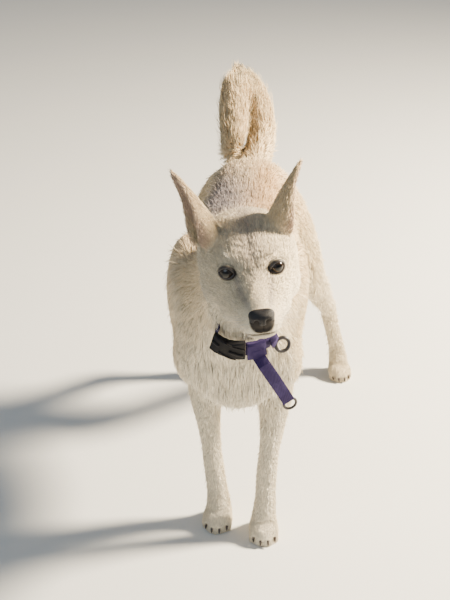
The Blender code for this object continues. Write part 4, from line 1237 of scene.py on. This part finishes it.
def make_nose():
    """The nose pad: a broad rounded wedge with comma-shaped nostrils and a groove down its middle."""
    places = into(HEAD_INVERSE, points_of(NODES["nose"].data))
    middle = (places.max(0) + places.min(0)) / 2
    half = np.ptp(places, axis=0) / 2
    mesh = bpy.data.meshes.new("nose pad")
    with edited(mesh) as bm:
        bmesh.ops.create_uvsphere(bm, u_segments=96, v_segments=64, radius=1)
    x, y, z = points_of(mesh).T
    boxy = 1 + 0.20 * (x * z) ** 2 * 4
    front = ramp(-y, 0.10, 0.55)
    across, high = x * (1 + 0.05 * z) * boxy, z * boxy * np.where(z < 0, 0.80, 1.0)
    mirrored = np.abs(across)
    hole = blot(mirrored, high, (0.46, -0.02), (0.17, 0.24))
    tail = blot(mirrored, high + 0.24 - 0.1 * (mirrored - 0.7), (0.72, 0), (0.20, 0.11))
    wing = blot(mirrored, high, (0.62, 0.34), (0.30, 0.22))
    groove = bump(across, 0, 0.055) * ramp(-high, -0.75, 0.15)
    y = y + front * (0.46 * hole + 0.26 * tail - 0.10 * wing + 0.10 * groove)
    move_points(mesh, into(HEAD, np.stack((across, y, high), axis=1) * half + middle))
    smooth(mesh)
    finished(add_object(mesh), PAINTS["nose"], "nose_black", "nose")


def make_claws():
    steps = np.linspace(0, 1, 9)
    radii = CLAW_RADIUS * (1 - steps**1.8) ** 0.6 + CLAW_TIP
    claws = []
    for root, ahead in CLAWS:
        root, ahead, down = np.array(root), np.array(ahead), np.array((0, 0, -1.0))
        path = [root + ahead * (CLAW_LENGTH * 0.92 * t - 0.003) + down * CLAW_DROP * t**2.2 for t in steps]
        path = [(x, y, max(z, radius + FLOOR_CLEAR)) for (x, y, z), radius in zip(path, radii)]
        claws.append(tube("claw", path, radii, 10))
    return finished(joined("claws", claws), PAINTS["claw"], "nose_black")


# For the whiskers on the pads and over the eyes: side, back and up parts of their way out, and length.
WHISKER_WAYS = {"pad": ((0.8, 0.55, -0.18), (0.014, 0.024)), "brow": ((0.35, 0.10, 0.8), (0.010, 0.014))}
WHISKER_RADIUS = 0.00026


def make_whiskers(tree):
    """Fine whiskers from the pads beside the nose, and a few over the eyes."""
    steps = np.linspace(0, 1, 6)
    bend = HEAD_TURN @ Vector((0, 0.35, -0.25))
    whiskers = []
    for side in (1, -1):
        roots = [("pad", (side * (0.011 + 0.003 * k), -0.070 + 0.0065 * k, -0.031 - 0.0035 * row))
                 for k in range(4) for row in range(3)]
        roots += [("brow", (side * (0.024 + 0.002 * k), 0.001, 0.017 + 0.001 * k)) for k in range(3)]
        for kind, spot in roots:
            way, span = WHISKER_WAYS[kind]
            start, normal, _, _ = tree.find_nearest(HEAD @ Vector(spot))
            out = HEAD_TURN @ Vector((side * way[0], way[1], way[2]))
            out = (out.normalized() + normal * 0.5).normalized()
            length = rng.uniform(*span)
            path = [start + out * length * t + bend * length * 0.5 * t * t for t in steps]
            whiskers.append(tube("whisker", path, WHISKER_RADIUS * (1 - 0.8 * steps), 4))
    return finished(joined("whiskers", whiskers), PAINTS["whisker"], "coat_pale")


# --- the collar
EDGE_ROUND = 0.0006
NECK_RADIUS = 0.07
RING_WIRE, D_RING_WIRE = 0.0025, 0.0018
# The buckle's ribs: distance across it, and where each starts and ends along it.
BUCKLE_RIBS = ((-0.0092, -0.72, 0.30), (0.0092, -0.72, 0.30), (0.0, -0.80, -0.10), (0.0, 0.42, 0.86))
ARM_RADIUS, TONGUE_RADIUS = 0.0013, 0.0022


def smooth_copy(node, name, material, slot):
    """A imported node's copy, merged and with its edges rounded."""
    copy = add_object(outward(NODES[node].data.copy()))
    with edited(copy.data) as bm:
        bmesh.ops.dissolve_limit(bm, angle_limit=math.radians(2), verts=bm.verts, edges=bm.edges)
    edge = copy.modifiers.new("edge", "BEVEL")
    edge.width, edge.segments, edge.limit_method = EDGE_ROUND, 3, "ANGLE"
    edge.angle_limit = math.radians(35)
    bake(copy)
    select_only([copy])
    bpy.ops.object.shade_smooth_by_angle(angle=math.radians(40))
    copy.name = name
    return finished(copy, material, slot, node)


def make_ring(node, name, wire):
    """A round ring bent from wire."""
    middle, axis = ring_axis(node)
    one, two = square_to(axis)
    out = points_of(NODES[node].data) - middle
    outside = lengths(out - np.outer(out @ axis, axis)).max()
    turns = np.arange(72) * 2 * math.pi / 72
    path = [middle + (outside - wire) * (math.cos(t) * one + math.sin(t) * two) for t in turns]
    return finished(tube(name, path, wire, 16, closed=True), PAINTS["steel"], "ring_steel", node)


def press_in(band, skin):
    """At the neck's sides and nape the strap is pressed through the coat, down to the skin."""
    places = points_of(band.data)
    near = search_tree(places)
    found = [skin.tree.find_nearest(place)[:2] for place in places]
    ups = np.array([up for _, up in found])
    heights = ((places - np.array([hit for hit, _ in found])) * ups).sum(1)
    around = [[i for _, i, _ in near.find_range(place, STRAP_REACH)] for place in places]
    inner = np.array([heights[own].min() for own in around])
    drop = beside_throat(places) * np.maximum(inner - PRESSED, 0)
    move_points(band.data, places - ups * drop[:, None])


def make_buckle_ribs():
    """The buckle's two side arms and its middle tongue, raised from its outer face."""
    mesh = NODES["collar_buckle"].data
    places = points_of(mesh)
    middle = places.mean(0)
    run, edge, face = np.linalg.svd(places - middle, full_matrices=False)[2]
    face = face if face @ (middle - BAND_CENTRE) > 0 else -face
    tree = BVHTree.FromPolygons([v.co for v in mesh.vertices], [p.vertices for p in mesh.polygons])
    reach = np.abs((places - middle) @ run).max()
    ribs = []
    for offset, start, end in BUCKLE_RIBS:
        line = [middle + run * reach * t + edge * offset + face * 0.02 for t in np.linspace(start, end, 9)]
        hits = [tree.ray_cast(Vector(above), Vector(-face))[0] for above in line]
        path = [np.array(hit) + face * 0.0001 for hit in hits if hit is not None]
        ribs.append(tube("buckle rib", path, ARM_RADIUS if offset else TONGUE_RADIUS, 10))
    return finished(joined("buckle arms and tongue", ribs), PAINTS["plastic"], "buckle_black")


def weave_map(mesh):
    """A map in millimetres: along the strap by the angle round the neck, and across it."""
    corners = rows_of(mesh.loops, "vertex_index", 1, int)[:, 0]
    places = points_of(mesh) - BAND_CENTRE
    one, two = square_to(BAND_AXIS)
    angle = np.arctan2(places @ two, places @ one)
    uv = np.column_stack((angle * NECK_RADIUS * 1000, (places @ BAND_AXIS) * 1000))
    map_corners(mesh, "weave", uv[corners])


# --- building the dog


def make_skin():
    """The skin under the whole coat."""
    body = fused_body()
    drop_crumbs(body.data)
    thin_body(body, relax(body))
    mesh = body.data
    refine(mesh, by_lips)
    points, owner = round_off(mesh)
    sink(mesh, points, owner)
    sculpt_head(mesh, owner)
    refine(mesh, by_eyes)
    refine(mesh, by_eyes)
    open_eyes(mesh)
    pull_in_claws(mesh)
    smooth(mesh)
    body.name = "skin"
    skin = Skin(mesh)
    for mark, values in skin.marks.items():
        attribute(mesh, mark, values)
    finished(body, PAINTS["skin"], "coat_cream", *FLESH)
    return skin


def coat_pieces():
    """For each piece of coat, what it covers, how its nodes' names start and its two ends along Y."""
    behind_eyes = EYES["right"].y + 0.012
    yield "face", "head", -FAR, behind_eyes
    yield "head", "head", behind_eyes
    yield "ears", "ear"
    yield "neck", "neck"
    low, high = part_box("trunk")
    cuts = [-FAR, *np.linspace(low.y, high.y, 5)[1:-1], FAR]
    for i, span in enumerate(zip(cuts, cuts[1:])):
        yield f"trunk {i + 1}", "trunk", *span
    for side in SIDES:
        yield f"{side} foreleg", f"foreleg_{side}"
        yield f"{side} hind leg", f"hindleg_{side}"
    yield "tail", "tail"
    yield "paws", "paw"


skin = make_skin()
for covered, wanted, *span in coat_pieces():
    nodes = [i for i, node in enumerate(FLESH) if node.startswith(wanted)]
    piece = plant(f"coat of the {covered}", skin, skin.faces_of(nodes, *span), nodes)
    finished(piece, PAINTS["coat"], "coat_cream")
for side in SIDES:
    make_eye(side)
make_nose()
make_claws()
make_whiskers(skin.tree)
band = smooth_copy("collar_band", "collar webbing", PAINTS["webbing"], "webbing_purple")
press_in(band, skin)
strap = smooth_copy("collar_loop", "collar control loop", PAINTS["webbing"], "webbing_purple")
weave_map(band.data)
weave_map(strap.data)
smooth_copy("collar_buckle", "side release buckle", PAINTS["plastic"], "buckle_black")
make_buckle_ribs()
make_ring("collar_ring", "round collar ring", RING_WIRE)
make_ring("collar_d_ring", "collar D ring", D_RING_WIRE)

# --- floor, light and camera
FLOOR_REACH = 12.0
BODY_MIDDLE = Vector((0.0, 0.0, 0.35))
# For each lamp: place, size, power and colour. All point at the body's middle.
LAMPS = {
    "key": ((2.5, 0.75, 2.0), 0.6, 880, (1.0, 0.85, 0.62)),
    "front": ((-1.6, -2.6, 2.3), 2.6, 34, (0.76, 0.89, 1.0)),
}
SKY, SKY_STRENGTH = (0.80, 0.90, 1.0, 1), 0.34
CAMERA_PLACE, CAMERA_DOWN, CAMERA_TURN = (0.02944, -1.49826, 1.064), 25.51, 3.69
SENSOR, LENS = 36, 66


def make_floor():
    mesh = bpy.data.meshes.new("floor")
    corners = [(x * FLOOR_REACH, y * FLOOR_REACH, 0) for x, y in ((-1, -1), (1, -1), (1, 1), (-1, 1))]
    mesh.from_pydata(corners, [], [(0, 1, 2, 3)])
    mesh.materials.append(plain_paint("pale studio floor", (0.66, 0.66, 0.65), 3.0, 0.0, 0.02, Roughness=0.7))
    add_object(mesh)


def add_lamp(name, place, size, power, colour):
    lamp = bpy.data.lights.new(name, "AREA")
    lamp.shape, lamp.size, lamp.energy, lamp.color = "DISK", size, power, colour
    made = bpy.data.objects.new(name, lamp)
    made.location = place
    made.rotation_euler = (BODY_MIDDLE - Vector(place)).to_track_quat("-Z", "Y").to_euler()
    bpy.context.scene.collection.objects.link(made)


def add_world():
    world = bpy.data.worlds.new("studio")
    bpy.context.scene.world = world
    world.use_nodes = True
    sky = world.node_tree.nodes["Background"].inputs
    sky["Color"].default_value, sky["Strength"].default_value = SKY, SKY_STRENGTH


def add_camera():
    camera = bpy.data.cameras.new("camera")
    camera.sensor_fit, camera.sensor_height, camera.lens = "VERTICAL", SENSOR, LENS
    seat = bpy.data.objects.new("camera", camera)
    bpy.context.scene.collection.objects.link(seat)
    seat.location = CAMERA_PLACE
    seat.rotation_euler = (math.radians(90 - CAMERA_DOWN), 0, math.radians(CAMERA_TURN))
    bpy.context.scene.camera = seat


make_floor()
for name, figures in LAMPS.items():
    add_lamp(name, *figures)
add_world()
add_camera()
